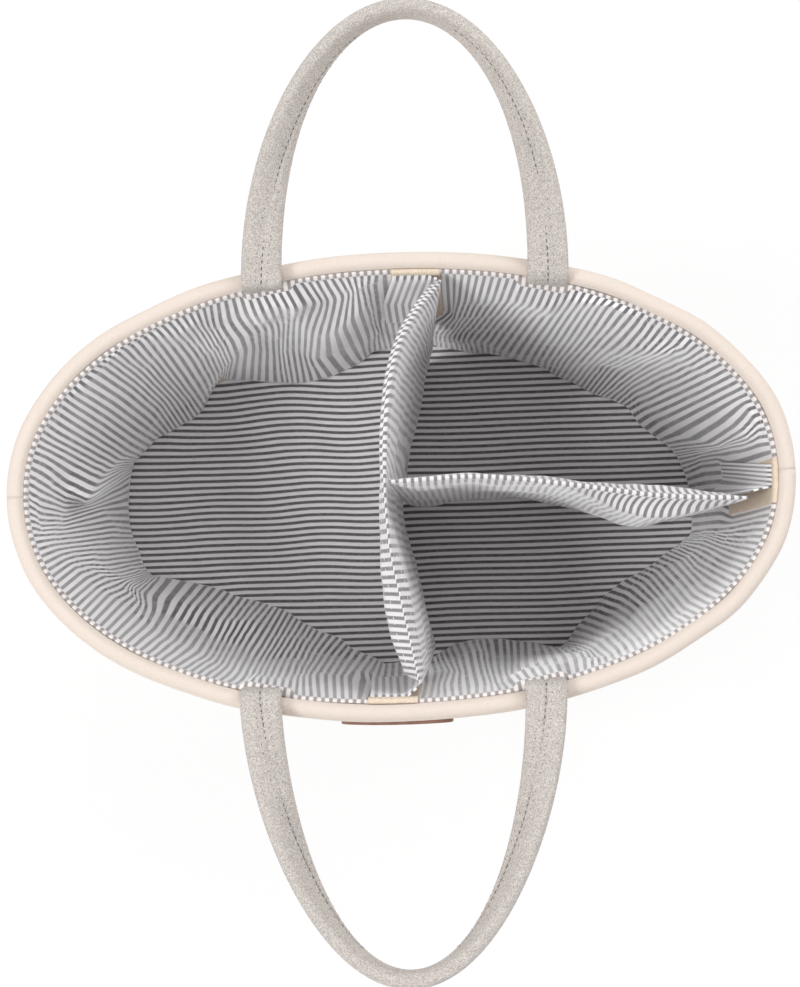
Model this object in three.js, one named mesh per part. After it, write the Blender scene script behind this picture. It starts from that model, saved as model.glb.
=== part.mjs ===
// A soft oval nursery caddy: a felt shell turned over padded walls, a striped lining, a loose T-shaped
// divider held by hook-and-loop tabs, two folded felt handles and a bare leather label.
// Millimetres, +Z up, origin at the middle of the underside. +X runs along the caddy, -Y is the label side.
import * as THREE from "three";

// Outside of the body, as superellipses at the foot and at the rim
const bodyHeight = 178;
const rimHalfLength = 202.5;
const rimHalfWidth = 120.5;
const baseHalfLength = 182;
const baseHalfWidth = 106;
const rimOvalPower = 2.12;
const baseOvalPower = 2.3;
const flarePower = 1.6;

// Layers of the wall, from the outside in
const seamGap = 0.3;
const feltThickness = 2;
const foamThickness = 5;
const liningThickness = 1.2;
const lipDrop = 14;
const hemBelowCrown = 4.6;

// Layers of the bottom
const baseLipHeight = 5;
const baseEdgeRadius = 4;
const boardThickness = 3;
const boardInset = 8;
const floorThickness = 1.2;

// Handles: a felt strip folded to its middle, flat where it is sewn in and on edge at the grip.
// A shift moves a whole loop along the caddy, and a skew moves only its grip.
const backLegHalfSpacing = 73.4;
const backLoopShift = 7.2;
const backLoopSkew = 4.5;
const backLoopReach = 135;
const backLoopPower = 2.04;
const frontLegHalfSpacing = 71.8;
const frontLoopShift = -0.5;
const frontLoopSkew = 1.2;
const frontLoopReach = 140.5;
const frontLoopPower = 1.67;
const handleRestAngle = 15;
const strapRootWidth = 21;
const strapRootThickness = 6.5;
const strapGripWidth = 19;
const strapGripThickness = 8.5;
const strapTwistAngle = 82;
const anchorLength = 28;
const anchorThickness = 3.2;

// Divider: foam panels in stitched covers
const dividerTop = 169;
const panelHalfThickness = 2.6;
const panelEdgeHalfThickness = 0.95;
const coverThickness = 0.8;
const panelEdgeFade = 9;
const crossBackFootX = 13.5;
const crossFrontFootX = 11.5;
const crossBackTopX = 26.5;
const crossFrontTopX = 8;
const crossFrontSwell = 4.5;
const longSway = 18;
const longTopSwayShares = [0.15, 0.17, -0.08, -0.33, -0.45];
const longFootSwayShares = [0.05, 0.28, 0.17, -0.36, -0.72];

// Places as X and Y that the cross panel's top and foot lines run through, from the front to the back
const crossTopPlaces = [
  [4, -82],
  [-0.8, -57.5],
  [-5.6, -30],
  [-7.3, 2],
  [-6.5, 29],
  [-2.9, 57],
  [4.5, 79],
  [15, 95],
];
const crossFootPlaces = [
  [8.5, -72],
  [3.6, -50],
  [-1.8, -26],
  [-4.2, 2],
  [-1.2, 25],
  [4.5, 49],
  [9, 69],
  [12, 82],
];
const junctionPlace = 4;

// Tabs at the divider's ends, and the hook and loop tapes that hold them
const tapeThickness = 1.2;
const tapeLength = 92;
const tapeMargin = 2.5;
const patchWidth = 26;
const tabThickness = 1.8;
const tabWidth = 24;
const backTabLift = 3;
const frontTabLift = 1.5;
const endTabLift = 7;
const tabFreeStretch = 8;
const backTabRoot = 1.9;

// Leather label on the front
const labelWidth = 57;
const labelMiddleX = -4.5;
const labelHeight = 34;
const labelThickness = 2;
const labelCornerRadius = 4;
const labelBelowCrown = 11;

// How finely the curved pieces are cut
const wallSteps = 28;
const wallRows = 5;
const arcSteps = 4;
const liningRows = 7;
const liningTopRows = 2;
const ovalSteps = 48;
const handleSteps = 32;
const sectionSteps = 3;
const crossColumns = 16;
const longColumns = 12;
const panelRows = 4;
const plateColumns = 4;
const plateRows = 4;
const labelColumns = 8;
const anchorRows = 2;
const strapEdgeShares = [-1, -0.5, 0.5, 1];
const roundEndShares = [0.36, 0.7, 0.94];
const cornerStopShares = [0.1, 0.35, 0.65];
const normalStepShare = 0.01;
const headingStepShare = 0.001;

// Sizes that follow from the ones above
const wallThickness = 2 * feltThickness + foamThickness + 2 * seamGap;
const rollRadius = wallThickness / 2;
const rollCentreHeight = bodyHeight - rollRadius;
const lipDepth = wallThickness - feltThickness;
const liningDepth = wallThickness + seamGap;
const hemTop = bodyHeight - hemBelowCrown;
const boardFoot = feltThickness + seamGap;
const floorFoot = boardFoot + boardThickness + seamGap;
const liningFoot = floorFoot + floorThickness + seamGap;
const dividerFoot = liningFoot;
const shellFoot = baseLipHeight + seamGap;
const patchDepth = liningDepth + liningThickness + seamGap;
const tabFaceDepth = patchDepth + 2 * (tapeThickness + seamGap) + tabThickness;
const anchorDepth = liningDepth;
const anchorLiningPush = anchorThickness + seamGap;
const strapRootRadius = strapRootThickness / 2;
const handleHingeHeight = bodyHeight + strapRootRadius + seamGap;
const anchorTop = bodyHeight;
const anchorFoot = bodyHeight - anchorLength;
const coreHalfThickness = panelHalfThickness - coverThickness - seamGap;
const tabRootOffset = panelEdgeHalfThickness + seamGap;
const halfTurn = Math.PI;

// Loose folds of the lining: where they sit round the oval, how wide they spread, how far they stand in
const liningFolds = [
  { side: "back", angle: 110, spread: 13, depth: 19 },
  { side: "back", angle: 137, spread: 11, depth: 7 },
  { side: "back", angle: 161, spread: 12, depth: 6 },
  { side: "back", angle: 68, spread: 14, depth: 13 },
  { side: "back", angle: 41, spread: 12, depth: 7 },
  { side: "front", angle: 51, spread: 15, depth: 12 },
  { side: "front", angle: 75, spread: 7, depth: 6 },
  { side: "front", angle: 116, spread: 20, depth: 22 },
  { side: "front", angle: 150, spread: 14, depth: 8 },
];
const foldPeakPower = 2.2;

const feltCream = { color: 0xf1e4d2, roughness: 0.95, metalness: 0 };
const feltGrey = { color: 0xb9aea4, roughness: 0.95, metalness: 0 };
const ticking = { color: 0xa9a8ac, roughness: 0.85, metalness: 0 };
const foamWhite = { color: 0xe9e6da, roughness: 0.9, metalness: 0 };
const board = { color: 0x8d8275, roughness: 0.8, metalness: 0 };
const leather = { color: 0x8d6b5d, roughness: 0.6, metalness: 0 };
const tape = { color: 0xcbbd9f, roughness: 0.95, metalness: 0 };

const caddy = new THREE.Group();

function radians(degrees) {
  return THREE.MathUtils.degToRad(degrees);
}

function mix(low, high, share) {
  return THREE.MathUtils.lerp(low, high, share);
}

function addPiece(name, geometry, finish) {
  const mesh = new THREE.Mesh(geometry, new THREE.MeshStandardMaterial(finish));
  mesh.name = name;
  caddy.add(mesh);
  return mesh;
}

// Rings of equal length joined in order and capped at both ends
function loft(rings) {
  const count = rings[0].length;
  const last = (rings.length - 1) * count;
  const faces = [];
  for (let ring = 0; ring < last; ring += count) {
    for (let point = 0; point < count; point += 1) {
      const next = (point + 1) % count;
      faces.push([ring + point, ring + next, ring + count + next]);
      faces.push([ring + point, ring + count + next, ring + count + point]);
    }
  }
  for (const [a, b, c] of rungs(count)) {
    faces.push([c, b, a]);
    faces.push([last + a, last + b, last + c]);
  }
  return solid(rings.flat(), faces);
}

// Triangles that close a ring rung by rung, from its first and last points inwards
function rungs(count) {
  const faces = [];
  for (let near = 0; near < count / 2 - 1; near += 1) {
    const far = count - 1 - near;
    faces.push([near, near + 1, far]);
    if (near + 1 < far - 1) {
      faces.push([near + 1, far - 1, far]);
    }
  }
  return faces;
}

// A geometry whose faces point out, whichever way its rings were walked
function solid(points, faces) {
  const volume = faces.reduce((sum, [a, b, c]) => {
    return sum + points[a].dot(new THREE.Vector3().crossVectors(points[b], points[c]));
  }, 0);
  const turned = volume < 0 ? faces.map(([a, b, c]) => [c, b, a]) : faces;
  const geometry = new THREE.BufferGeometry().setFromPoints(points);
  geometry.setIndex(turned.flat());
  geometry.computeVertexNormals();
  return geometry;
}

// Wall surface

function signedPower(value, power) {
  return Math.sign(value) * Math.abs(value) ** power;
}

// A point on the body's outside at that angle and height, moved in by depth square to the outline
function wallPoint(angle, height, depth) {
  const share = THREE.MathUtils.clamp(height / bodyHeight, 0, 1);
  const rise = 1 - (1 - share) ** flarePower;
  const halfLength = mix(baseHalfLength, rimHalfLength, rise);
  const halfWidth = mix(baseHalfWidth, rimHalfWidth, rise);
  const power = mix(baseOvalPower, rimOvalPower, rise);
  const point = ovalPoint(halfLength, halfWidth, power, angle, depth);
  return new THREE.Vector3(point.x, point.y, height);
}

function ovalPoint(halfLength, halfWidth, power, angle, inset) {
  const cosine = Math.cos(angle);
  const sine = Math.sin(angle);
  const x = halfLength * signedPower(cosine, 2 / power);
  const y = halfWidth * signedPower(sine, 2 / power);
  const normalPower = (2 * (power - 1)) / power;
  const normal = new THREE.Vector2(
    signedPower(cosine, normalPower) / halfLength,
    signedPower(sine, normalPower) / halfWidth,
  ).normalize();
  return new THREE.Vector2(x - normal.x * inset, y - normal.y * inset);
}

// The angle at which the rim passes a given X, on the back or the front
function rimAngleAtX(x, side) {
  const cosine = signedPower(x / rimHalfLength, rimOvalPower / 2);
  return side * Math.acos(cosine);
}

// The angle at which the rim's right end passes a given Y
function rimAngleAtY(y) {
  return Math.asin(signedPower(y / rimHalfWidth, rimOvalPower / 2));
}

// The side seams stand open by one gap
const seamAngle = rimAngleAtY(seamGap / 2);

// The two halves of the wall, each with the handle that is sewn into it
const halves = [
  {
    name: "front",
    side: -1,
    halfSpacing: frontLegHalfSpacing,
    shift: frontLoopShift,
    skew: frontLoopSkew,
    reach: frontLoopReach,
    power: frontLoopPower,
  },
  {
    name: "back",
    side: 1,
    halfSpacing: backLegHalfSpacing,
    shift: backLoopShift,
    skew: backLoopSkew,
    reach: backLoopReach,
    power: backLoopPower,
  },
];

// Where the legs of a half's handle stand along the caddy
function legPlaces(half) {
  return [-1, 1].map((hand) => half.shift + hand * half.halfSpacing);
}

// Angles that every layer of a half wall shares, with one at each edge of a sewn-in strap
function halfWallAngles(half) {
  const angles = evenSteps(seamAngle, halfTurn - seamAngle, wallSteps);
  for (const x of legPlaces(half)) {
    for (const share of strapEdgeShares) {
      angles.push(rimAngleAtX(x + share * strapRootWidth, 1));
    }
  }
  return angles.sort((a, b) => a - b).map((angle) => half.side * angle);
}

function evenSteps(from, to, steps) {
  return Array.from({ length: steps + 1 }, (_, step) => mix(from, to, step / steps));
}

// Sweeps a profile of [depth, height] pairs round the wall
function sweepWall(profileAt, angles) {
  const rings = angles.map((angle) => {
    return profileAt(angle).map(([depth, height]) => wallPoint(angle, height, depth));
  });
  return loft(rings);
}

// A straight run of the profile from one height to another
function leg(depth, from, to, rows) {
  const points = [];
  for (let row = 0; row <= rows; row += 1) {
    points.push([depth, mix(from, to, row / rows)]);
  }
  return points;
}

// The half circle over the rim, from the outside in or back again
function crown(radius, from, to) {
  const points = [];
  for (let step = 1; step < arcSteps; step += 1) {
    const angle = mix(from, to, step / arcSteps);
    points.push([
      rollRadius - radius * Math.cos(angle),
      rollCentreHeight + radius * Math.sin(angle),
    ]);
  }
  return points;
}

// Felt shell: up the outside, over the padding and down inside as a lip
function shellProfile() {
  const lipFoot = bodyHeight - lipDrop;
  return [
    ...leg(0, shellFoot, rollCentreHeight, wallRows),
    ...crown(rollRadius, 0, halfTurn),
    ...leg(wallThickness, rollCentreHeight, lipFoot, 1),
    ...leg(lipDepth, lipFoot, rollCentreHeight, 1),
    ...crown(rollRadius - feltThickness, halfTurn, 0),
    ...leg(feltThickness, rollCentreHeight, shellFoot, wallRows),
  ];
}

// Wall padding, rounded where it fills the rim
function foamProfile() {
  const outer = feltThickness + seamGap;
  return [
    ...leg(outer, floorFoot, rollCentreHeight, wallRows),
    ...crown(foamThickness / 2, 0, halfTurn),
    ...leg(outer + foamThickness, rollCentreHeight, floorFoot, wallRows),
  ];
}

for (const half of halves) {
  const angles = halfWallAngles(half);
  addPiece(`shell_${half.name}`, sweepWall(shellProfile, angles), feltCream);
  addPiece(`wall_padding_${half.name}`, sweepWall(foamProfile, angles), foamWhite);
}

// Lining

// How far a sewn-in strap end pushes the lining in: whole behind the strap, then fading
function anchorPush(angle, height, half) {
  const point = wallPoint(angle, bodyHeight, 0);
  const distance = Math.min(...legPlaces(half).map((x) => Math.abs(point.x - x)));
  const edge = strapRootWidth / 2 + seamGap;
  const across = 1 - THREE.MathUtils.smoothstep(distance, edge, strapRootWidth);
  const down = THREE.MathUtils.smoothstep(height, anchorFoot - anchorLength, anchorFoot);
  return anchorLiningPush * across * down;
}

// Depth that the loose folds add: nothing at the hem and the floor seam, most in the lower third
function foldDepth(angle, height, side) {
  const down = THREE.MathUtils.clamp((hemTop - height) / (hemTop - liningFoot), 0, 1);
  const hang = Math.sin(halfTurn * down ** foldPeakPower);
  const degrees = Math.abs(THREE.MathUtils.radToDeg(angle));
  return liningFolds.reduce((sum, fold) => {
    const away = Math.abs(degrees - fold.angle) / fold.spread;
    const here = (fold.side === "back") === side > 0 && away < 1;
    return here ? sum + fold.depth * hang * Math.cos((away * halfTurn) / 2) ** 2 : sum;
  }, 0);
}

function liningProfile(angle, half) {
  const lower = leg(0, liningFoot, anchorFoot, liningRows);
  const upper = leg(0, anchorFoot, hemTop, liningTopRows);
  const outside = [...lower, ...upper.slice(1)].map(([, height]) => {
    const push = anchorPush(angle, height, half) + foldDepth(angle, height, half.side);
    return [liningDepth + push, height];
  });
  const inside = outside.map(([depth, height]) => [depth + liningThickness, height]);
  return [...outside, ...inside.reverse()];
}

for (const half of halves) {
  const profileAt = (angle) => liningProfile(angle, half);
  addPiece(`lining_${half.name}`, sweepWall(profileAt, halfWallAngles(half)), ticking);
}

// Bottom: a shallow felt dish, a stiff board and the striped floor

// One level ring of the body's outline, moved in by inset at that height
function levelRing(height, inset) {
  const ring = [];
  for (let step = 0; step < ovalSteps; step += 1) {
    const angle = (2 * halfTurn * step) / ovalSteps;
    ring.push(wallPoint(angle, height, inset));
  }
  return ring;
}

function basePanel() {
  const rings = [];
  for (let step = 0; step <= arcSteps; step += 1) {
    const turn = (halfTurn / 2) * (step / arcSteps);
    const inset = baseEdgeRadius * (1 - Math.sin(turn));
    rings.push(levelRing(baseEdgeRadius * (1 - Math.cos(turn)), inset));
  }
  rings.push(levelRing(baseLipHeight, 0));
  rings.push(levelRing(baseLipHeight, feltThickness));
  rings.push(levelRing(feltThickness, feltThickness + baseEdgeRadius - seamGap));
  return loft(rings);
}

function flatOval(foot, thickness, inset) {
  return loft([levelRing(foot, inset), levelRing(foot + thickness, inset)]);
}

addPiece("base_panel", basePanel(), feltCream);
addPiece("base_board", flatOval(boardFoot, boardThickness, boardInset), board);
addPiece("lining_floor", flatOval(floorFoot, floorThickness, boardInset), ticking);

// Thin curved pieces

// The surface's own normal, from its neighbours
function surfaceNormal(surface, u, v) {
  const near = normalStepShare;
  const along = surface(u + near, v).sub(surface(u - near, v));
  const up = surface(u, v + near).sub(surface(u, v - near));
  return along.cross(up).normalize();
}

// A sheet between two offsets from a surface, with a row of points at each stop
function sheet(surface, uStops, vStops, offsets, span = () => [0, 1]) {
  const rings = uStops.map((u) => {
    const [foot, top] = span(u);
    const near = [];
    const far = [];
    for (const stop of vStops) {
      const v = mix(foot, top, stop);
      const [low, high] = offsets(u, v);
      near.push(offsetPoint(surface, u, v, low));
      far.unshift(offsetPoint(surface, u, v, high));
    }
    return [...near, ...far];
  });
  return loft(rings);
}

function offsetPoint(surface, u, v, offset) {
  return surface(u, v).addScaledVector(surfaceNormal(surface, u, v), offset);
}

// Divider: where its ends meet the wall

// The straight line up which a panel ends, off the wall by the lift of its tab
function endLine(angleAt, lift) {
  const foot = wallPoint(angleAt(0), dividerFoot, tabFaceDepth + lift);
  const top = wallPoint(angleAt(1), dividerTop, tabFaceDepth + lift);
  return (v) => foot.clone().lerp(top, v);
}

const crossBackEnd = endLine(
  (v) => rimAngleAtX(mix(crossBackFootX, crossBackTopX, v), 1),
  backTabLift,
);
const crossFrontEnd = endLine(
  (v) => rimAngleAtX(mix(crossFrontFootX, crossFrontTopX, v), -1),
  frontTabLift,
);
const endFoldFootY = longSway * longFootSwayShares[longFootSwayShares.length - 1];
const endFoldY = longSway * longTopSwayShares[longTopSwayShares.length - 1];
const longEnd = endLine((v) => rimAngleAtY(mix(endFoldFootY, endFoldY, v)), endTabLift);

// A level line through the given places, from the cross panel's front end to its back end
function crossLine(places, height, v) {
  const between = places.map(([x, y]) => new THREE.Vector3(x, y, height));
  return new THREE.CatmullRomCurve3([crossFrontEnd(v), ...between, crossBackEnd(v)]);
}

const crossTopLine = crossLine(crossTopPlaces, dividerTop, 1);
const crossFootLine = crossLine(crossFootPlaces, dividerFoot, 0);
const junctionShare = junctionPlace / (crossTopPlaces.length + 1);

// Cross panel, from the front wall to the back, bowed away from the long panel
function crossSurface(u, v) {
  const along = THREE.MathUtils.clamp(u, 0, 1);
  return crossFootLine.getPoint(along).lerp(crossTopLine.getPoint(along), v);
}

// How much fuller the cross panel is between the front wall and the long panel's seam
function crossSwell(u) {
  return crossFrontSwell * Math.sin(halfTurn * Math.min(1, u / junctionShare)) ** 2;
}

const longTopSway = new THREE.SplineCurve(
  longTopSwayShares.map((share, i) => new THREE.Vector2(i, share * longSway)),
);
const longFootSway = new THREE.SplineCurve(
  longFootSwayShares.map((share, i) => new THREE.Vector2(i, share * longSway)),
);

// Long panel, from its seam on the cross panel to the right end; its first stretch eases off the seam
function longSurface(u, v) {
  const seam = offsetPoint(crossSurface, junctionShare, v, panelHalfThickness + seamGap);
  const end = longEnd(v);
  const along = THREE.MathUtils.clamp(u, 0, 1);
  const sway = mix(longFootSway.getPoint(along).y, longTopSway.getPoint(along).y, v);
  const eased = THREE.MathUtils.clamp(u * (longTopSwayShares.length - 1), 0, 1);
  return new THREE.Vector3(
    mix(seam.x, end.x, u),
    mix(seam.y, sway, eased),
    mix(seam.z, end.z, u),
  );
}

// Two covers stitched together round their edges, full where they cross the foam between them.
// The swell gives how much fuller it is on each side, along its upper half.
function addPanel(name, surface, columns, swell = () => 0) {
  const length = surface(0, 0.5).distanceTo(surface(1, 0.5));
  const height = dividerTop - dividerFoot;
  const coreU = evenSteps(panelEdgeFade / length, 1 - panelEdgeFade / length, columns);
  const coreV = evenSteps(panelEdgeFade / height, 1 - panelEdgeFade / height, panelRows);
  const swellAt = (u, v) => swell(u) * Math.min(1, 2 * v);
  const outer = (u, v) => {
    const toEdge = Math.min(u * length, (1 - u) * length, v * height, (1 - v) * height);
    const fullness = Math.min(1, toEdge / panelEdgeFade);
    return mix(panelEdgeHalfThickness, panelHalfThickness + swellAt(u, v), fullness);
  };
  const faces = [
    { label: "left", side: -1 },
    { label: "right", side: 1 },
  ];
  for (const { label, side } of faces) {
    const offsets = (u, v) => [side * (outer(u, v) - coverThickness), side * outer(u, v)];
    const cover = sheet(surface, [0, ...coreU, 1], [0, ...coreV, 1], offsets);
    addPiece(`${name}_cover_${label}`, cover, ticking);
  }
  const coreOffsets = (u, v) => {
    const half = coreHalfThickness + swellAt(u, v);
    return [-half, half];
  };
  addPiece(`${name}_foam`, sheet(surface, coreU, coreV, coreOffsets), foamWhite);
}

addPanel("cross_panel", crossSurface, crossColumns, crossSwell);
addPanel("long_panel", longSurface, longColumns);

// Tabs and tapes

const tabFoot = dividerTop - tapeLength;
const pressShare = tabFreeStretch / tabWidth;
const tabFootShare = (tabFoot - dividerFoot) / (dividerTop - dividerFoot);

// A tab's inner face: it crosses from the panel's end to the wall and then lies along it
function tabSurface(foldLine, pressAngle, freeAngle, root) {
  return (u, v) => {
    const height = mix(tabFoot, dividerTop, v);
    if (u >= pressShare) {
      const along = (u - pressShare) / (1 - pressShare);
      return wallPoint(mix(pressAngle, freeAngle, along), height, tabFaceDepth);
    }
    const fold = foldLine(mix(tabFootShare, 1, v));
    const landing = wallPoint(pressAngle, height, tabFaceDepth);
    return fold.lerp(landing, mix(root / tabFreeStretch, 1, u / pressShare));
  };
}

// A tape that follows the wall, over the lining and up to its hem
function patchSurface(midAngle, halfAngle) {
  return (u, v) => {
    const angle = mix(midAngle - halfAngle, midAngle + halfAngle, u);
    return wallPoint(angle, mix(tabFoot, hemTop, v), patchDepth);
  };
}

const backPatchMiddle = crossBackTopX - tabWidth / 2;
const frontPatchMiddle = crossFrontTopX - tabWidth / 2;
const endPatchMiddle = endFoldY + tabWidth / 2;

const fastenings = [
  {
    name: "back",
    foldLine: crossBackEnd,
    pressAngle: rimAngleAtX(crossBackTopX - tabFreeStretch, 1),
    freeAngle: rimAngleAtX(crossBackTopX - tabWidth, 1),
    middle: rimAngleAtX(backPatchMiddle, 1),
    edge: rimAngleAtX(backPatchMiddle - patchWidth / 2, 1),
    wallSide: 1,
    root: backTabRoot,
  },
  {
    name: "front",
    foldLine: crossFrontEnd,
    pressAngle: rimAngleAtX(crossFrontTopX - tabFreeStretch, -1),
    freeAngle: rimAngleAtX(crossFrontTopX - tabWidth, -1),
    middle: rimAngleAtX(frontPatchMiddle, -1),
    edge: rimAngleAtX(frontPatchMiddle - patchWidth / 2, -1),
    wallSide: -1,
    root: tabRootOffset,
  },
  {
    name: "end",
    foldLine: longEnd,
    pressAngle: rimAngleAtY(endFoldY + tabFreeStretch),
    freeAngle: rimAngleAtY(endFoldY + tabWidth),
    middle: rimAngleAtY(endPatchMiddle),
    edge: rimAngleAtY(endPatchMiddle + patchWidth / 2),
    wallSide: 1,
    root: tabRootOffset,
  },
];

const plateU = evenSteps(0, 1, plateColumns);
const plateV = evenSteps(0, 1, plateRows);

const pressU = evenSteps(pressShare, 1, plateColumns);
const hookU = inset(pressU, tapeMargin / tabWidth);
const hookV = inset(plateV, tapeMargin / tapeLength);

// The same stops, with the first and the last moved in by a margin
function inset(stops, margin) {
  const inner = stops.slice(1, -1);
  return [stops[0] + margin, ...inner, stops[stops.length - 1] - margin];
}

for (const fastening of fastenings) {
  const { name, foldLine, pressAngle, freeAngle, middle, edge, wallSide, root } = fastening;
  const face = tabSurface(foldLine, pressAngle, freeAngle, root);
  const tabOffsets = () => [0, wallSide * tabThickness];
  addPiece(`tab_${name}`, sheet(face, [0, ...pressU], plateV, tabOffsets), ticking);
  const hookFoot = tabThickness + seamGap;
  const hookOffsets = () => [wallSide * hookFoot, wallSide * (hookFoot + tapeThickness)];
  addPiece(`hook_tape_${name}`, sheet(face, hookU, hookV, hookOffsets), tape);
  const patch = patchSurface(middle, Math.abs(edge - middle));
  const patchOffsets = () => [-tapeThickness, 0];
  addPiece(`loop_patch_${name}`, sheet(patch, plateU, plateV, patchOffsets), tape);
}

// Handles

// Where a loop runs: x across the caddy, reach out from the hinge line
function loopPoint(half, turn) {
  const gripShare = Math.sin(turn) ** (2 / half.power);
  return new THREE.Vector2(
    half.skew * gripShare - half.halfSpacing * Math.cos(turn),
    half.reach * gripShare,
  );
}

// A flat strip with round edges, as offsets across its width and through its thickness
function strapSection(width, thickness) {
  const radius = thickness / 2;
  const straight = width / 2 - radius;
  const points = [];
  for (const hand of [1, -1]) {
    for (let step = 0; step <= sectionSteps; step += 1) {
      const angle = halfTurn * (step / sectionSteps - 0.5);
      points.push(
        new THREE.Vector2(
          hand * (straight + radius * Math.cos(angle)),
          hand * radius * Math.sin(angle),
        ),
      );
    }
  }
  return points;
}

// The hinge line runs through the middle of the sewn-in strap ends, level over both legs
function hingeDistance(half) {
  const depth = anchorDepth + anchorThickness / 2;
  const places = legPlaces(half).map((x) => wallPoint(rimAngleAtX(x, 1), bodyHeight, depth).y);
  return places.reduce((sum, y) => sum + y, 0) / places.length;
}

// One strap loop, lying out at its rest angle
function handleGeometry(half) {
  const { side, reach, halfSpacing } = half;
  const across = new THREE.Vector3(1, 0, 0);
  const lean = radians(handleRestAngle);
  const outward = new THREE.Vector3(0, side * Math.cos(lean), Math.sin(lean));
  const upward = new THREE.Vector3(0, -side * Math.sin(lean), Math.cos(lean));
  const origin = new THREE.Vector3(half.shift, side * hingeDistance(half), handleHingeHeight);
  const place = (flat) => {
    return origin.clone().addScaledVector(across, flat.x).addScaledVector(outward, flat.y);
  };
  const ring = (flat, heading, width, thickness, twist) => {
    const inPlane = across.clone().multiplyScalar(-heading.y).addScaledVector(outward, heading.x);
    const wide = inPlane.clone().multiplyScalar(Math.cos(twist));
    wide.addScaledVector(upward, Math.sin(twist));
    const thick = inPlane.clone().multiplyScalar(-Math.sin(twist));
    thick.addScaledVector(upward, Math.cos(twist));
    return strapSection(width, thickness).map((offset) => {
      return place(flat).addScaledVector(wide, offset.x).addScaledVector(thick, offset.y);
    });
  };
  const near = headingStepShare;
  const rings = [];
  for (let step = 0; step <= handleSteps; step += 1) {
    const turn = (halfTurn * step) / handleSteps;
    const inside = THREE.MathUtils.clamp(turn, near, halfTurn - near);
    const flat = loopPoint(half, turn);
    const heading = loopPoint(half, inside + near).sub(loopPoint(half, inside - near));
    const gripShare = flat.y / reach;
    const width = mix(strapRootWidth, strapGripWidth, gripShare);
    const thickness = mix(strapRootThickness, strapGripThickness, gripShare);
    const twist = radians(strapTwistAngle) * gripShare;
    rings.push(ring(flat, heading.normalize(), width, thickness, twist));
  }
  const rootEnd = (hand) => {
    const heading = new THREE.Vector2(0, -hand);
    return roundEndShares.map((share) => {
      const turn = (share * halfTurn) / 2;
      const flat = new THREE.Vector2(hand * halfSpacing, -strapRootRadius * Math.sin(turn));
      return ring(flat, heading, strapRootWidth, strapRootThickness * Math.cos(turn), 0);
    });
  };
  return loft([...rootEnd(-1).reverse(), ...rings, ...rootEnd(1)]);
}

// Each handle, and its sewn-in ends, flat between the shell's lip and the lining
for (const half of halves) {
  addPiece(`handle_${half.name}`, handleGeometry(half), feltGrey);
  legPlaces(half).forEach((x, index) => {
    const edges = [x - strapRootWidth / 2, x + strapRootWidth / 2];
    const [startAngle, endAngle] = edges.map((edgeX) => rimAngleAtX(edgeX, half.side));
    const profile = [
      ...leg(anchorDepth, anchorFoot, anchorTop, anchorRows),
      ...leg(anchorDepth + anchorThickness, anchorTop, anchorFoot, anchorRows),
    ];
    const end = sweepWall(() => profile, evenSteps(startAngle, endAngle, plateColumns));
    addPiece(`strap_end_${half.name}_${index ? "right" : "left"}`, end, feltGrey);
  });
}

// Leather label, sewn flat on the front wall just under the rim
function labelSurface(u, v) {
  const x = labelMiddleX + mix(-labelWidth, labelWidth, u) / 2;
  const angle = rimAngleAtX(x, -1);
  const top = bodyHeight - labelBelowCrown;
  return wallPoint(angle, mix(top - labelHeight, top, v), -seamGap);
}

// Columns close together round the corners and wide apart between them
function labelStops() {
  const corner = labelCornerRadius / labelWidth;
  const bend = cornerStopShares.map((share) => share * corner);
  const far = bend.map((stop) => 1 - stop).reverse();
  return [...bend, ...evenSteps(corner, 1 - corner, labelColumns), ...far];
}

// The label's height narrows over its corner radius at both ends
function labelSpan(u) {
  const fromEnd = Math.min(u, 1 - u) * labelWidth;
  const short = labelCornerRadius - Math.min(fromEnd, labelCornerRadius);
  const cut = labelCornerRadius - Math.sqrt(labelCornerRadius ** 2 - short ** 2);
  return [cut / labelHeight, 1 - cut / labelHeight];
}

const labelOffsets = () => [0, labelThickness];
const labelU = labelStops();
const labelGeometry = sheet(labelSurface, labelU, [0, 1], labelOffsets, labelSpan);
addPiece("leather_label", labelGeometry, leather);

export default caddy;
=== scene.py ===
"""Dresses an oval felt caddy: padded walls, a loose striped lining, a lift-out divider and two strap handles."""

import logging
import math
from dataclasses import dataclass, field
from enum import Enum
from functools import partial
from typing import Any, Callable, Optional, Sequence

import bpy
import numpy as np
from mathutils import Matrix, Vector


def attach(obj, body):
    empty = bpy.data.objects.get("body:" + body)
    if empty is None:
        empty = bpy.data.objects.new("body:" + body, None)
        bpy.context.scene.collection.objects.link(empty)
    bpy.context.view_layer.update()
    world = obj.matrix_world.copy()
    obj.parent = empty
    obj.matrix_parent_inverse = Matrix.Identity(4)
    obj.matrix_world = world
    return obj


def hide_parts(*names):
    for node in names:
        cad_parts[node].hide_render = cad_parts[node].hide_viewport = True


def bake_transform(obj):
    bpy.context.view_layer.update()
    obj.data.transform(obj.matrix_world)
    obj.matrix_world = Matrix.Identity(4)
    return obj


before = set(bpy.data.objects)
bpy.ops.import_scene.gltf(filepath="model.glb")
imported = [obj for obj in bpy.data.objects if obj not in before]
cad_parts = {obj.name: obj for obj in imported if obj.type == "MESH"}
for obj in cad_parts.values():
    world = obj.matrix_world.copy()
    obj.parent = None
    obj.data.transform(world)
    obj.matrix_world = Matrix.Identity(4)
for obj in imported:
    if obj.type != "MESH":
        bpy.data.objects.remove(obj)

LOG = logging.getLogger("caddy")
MM = 0.001

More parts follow.
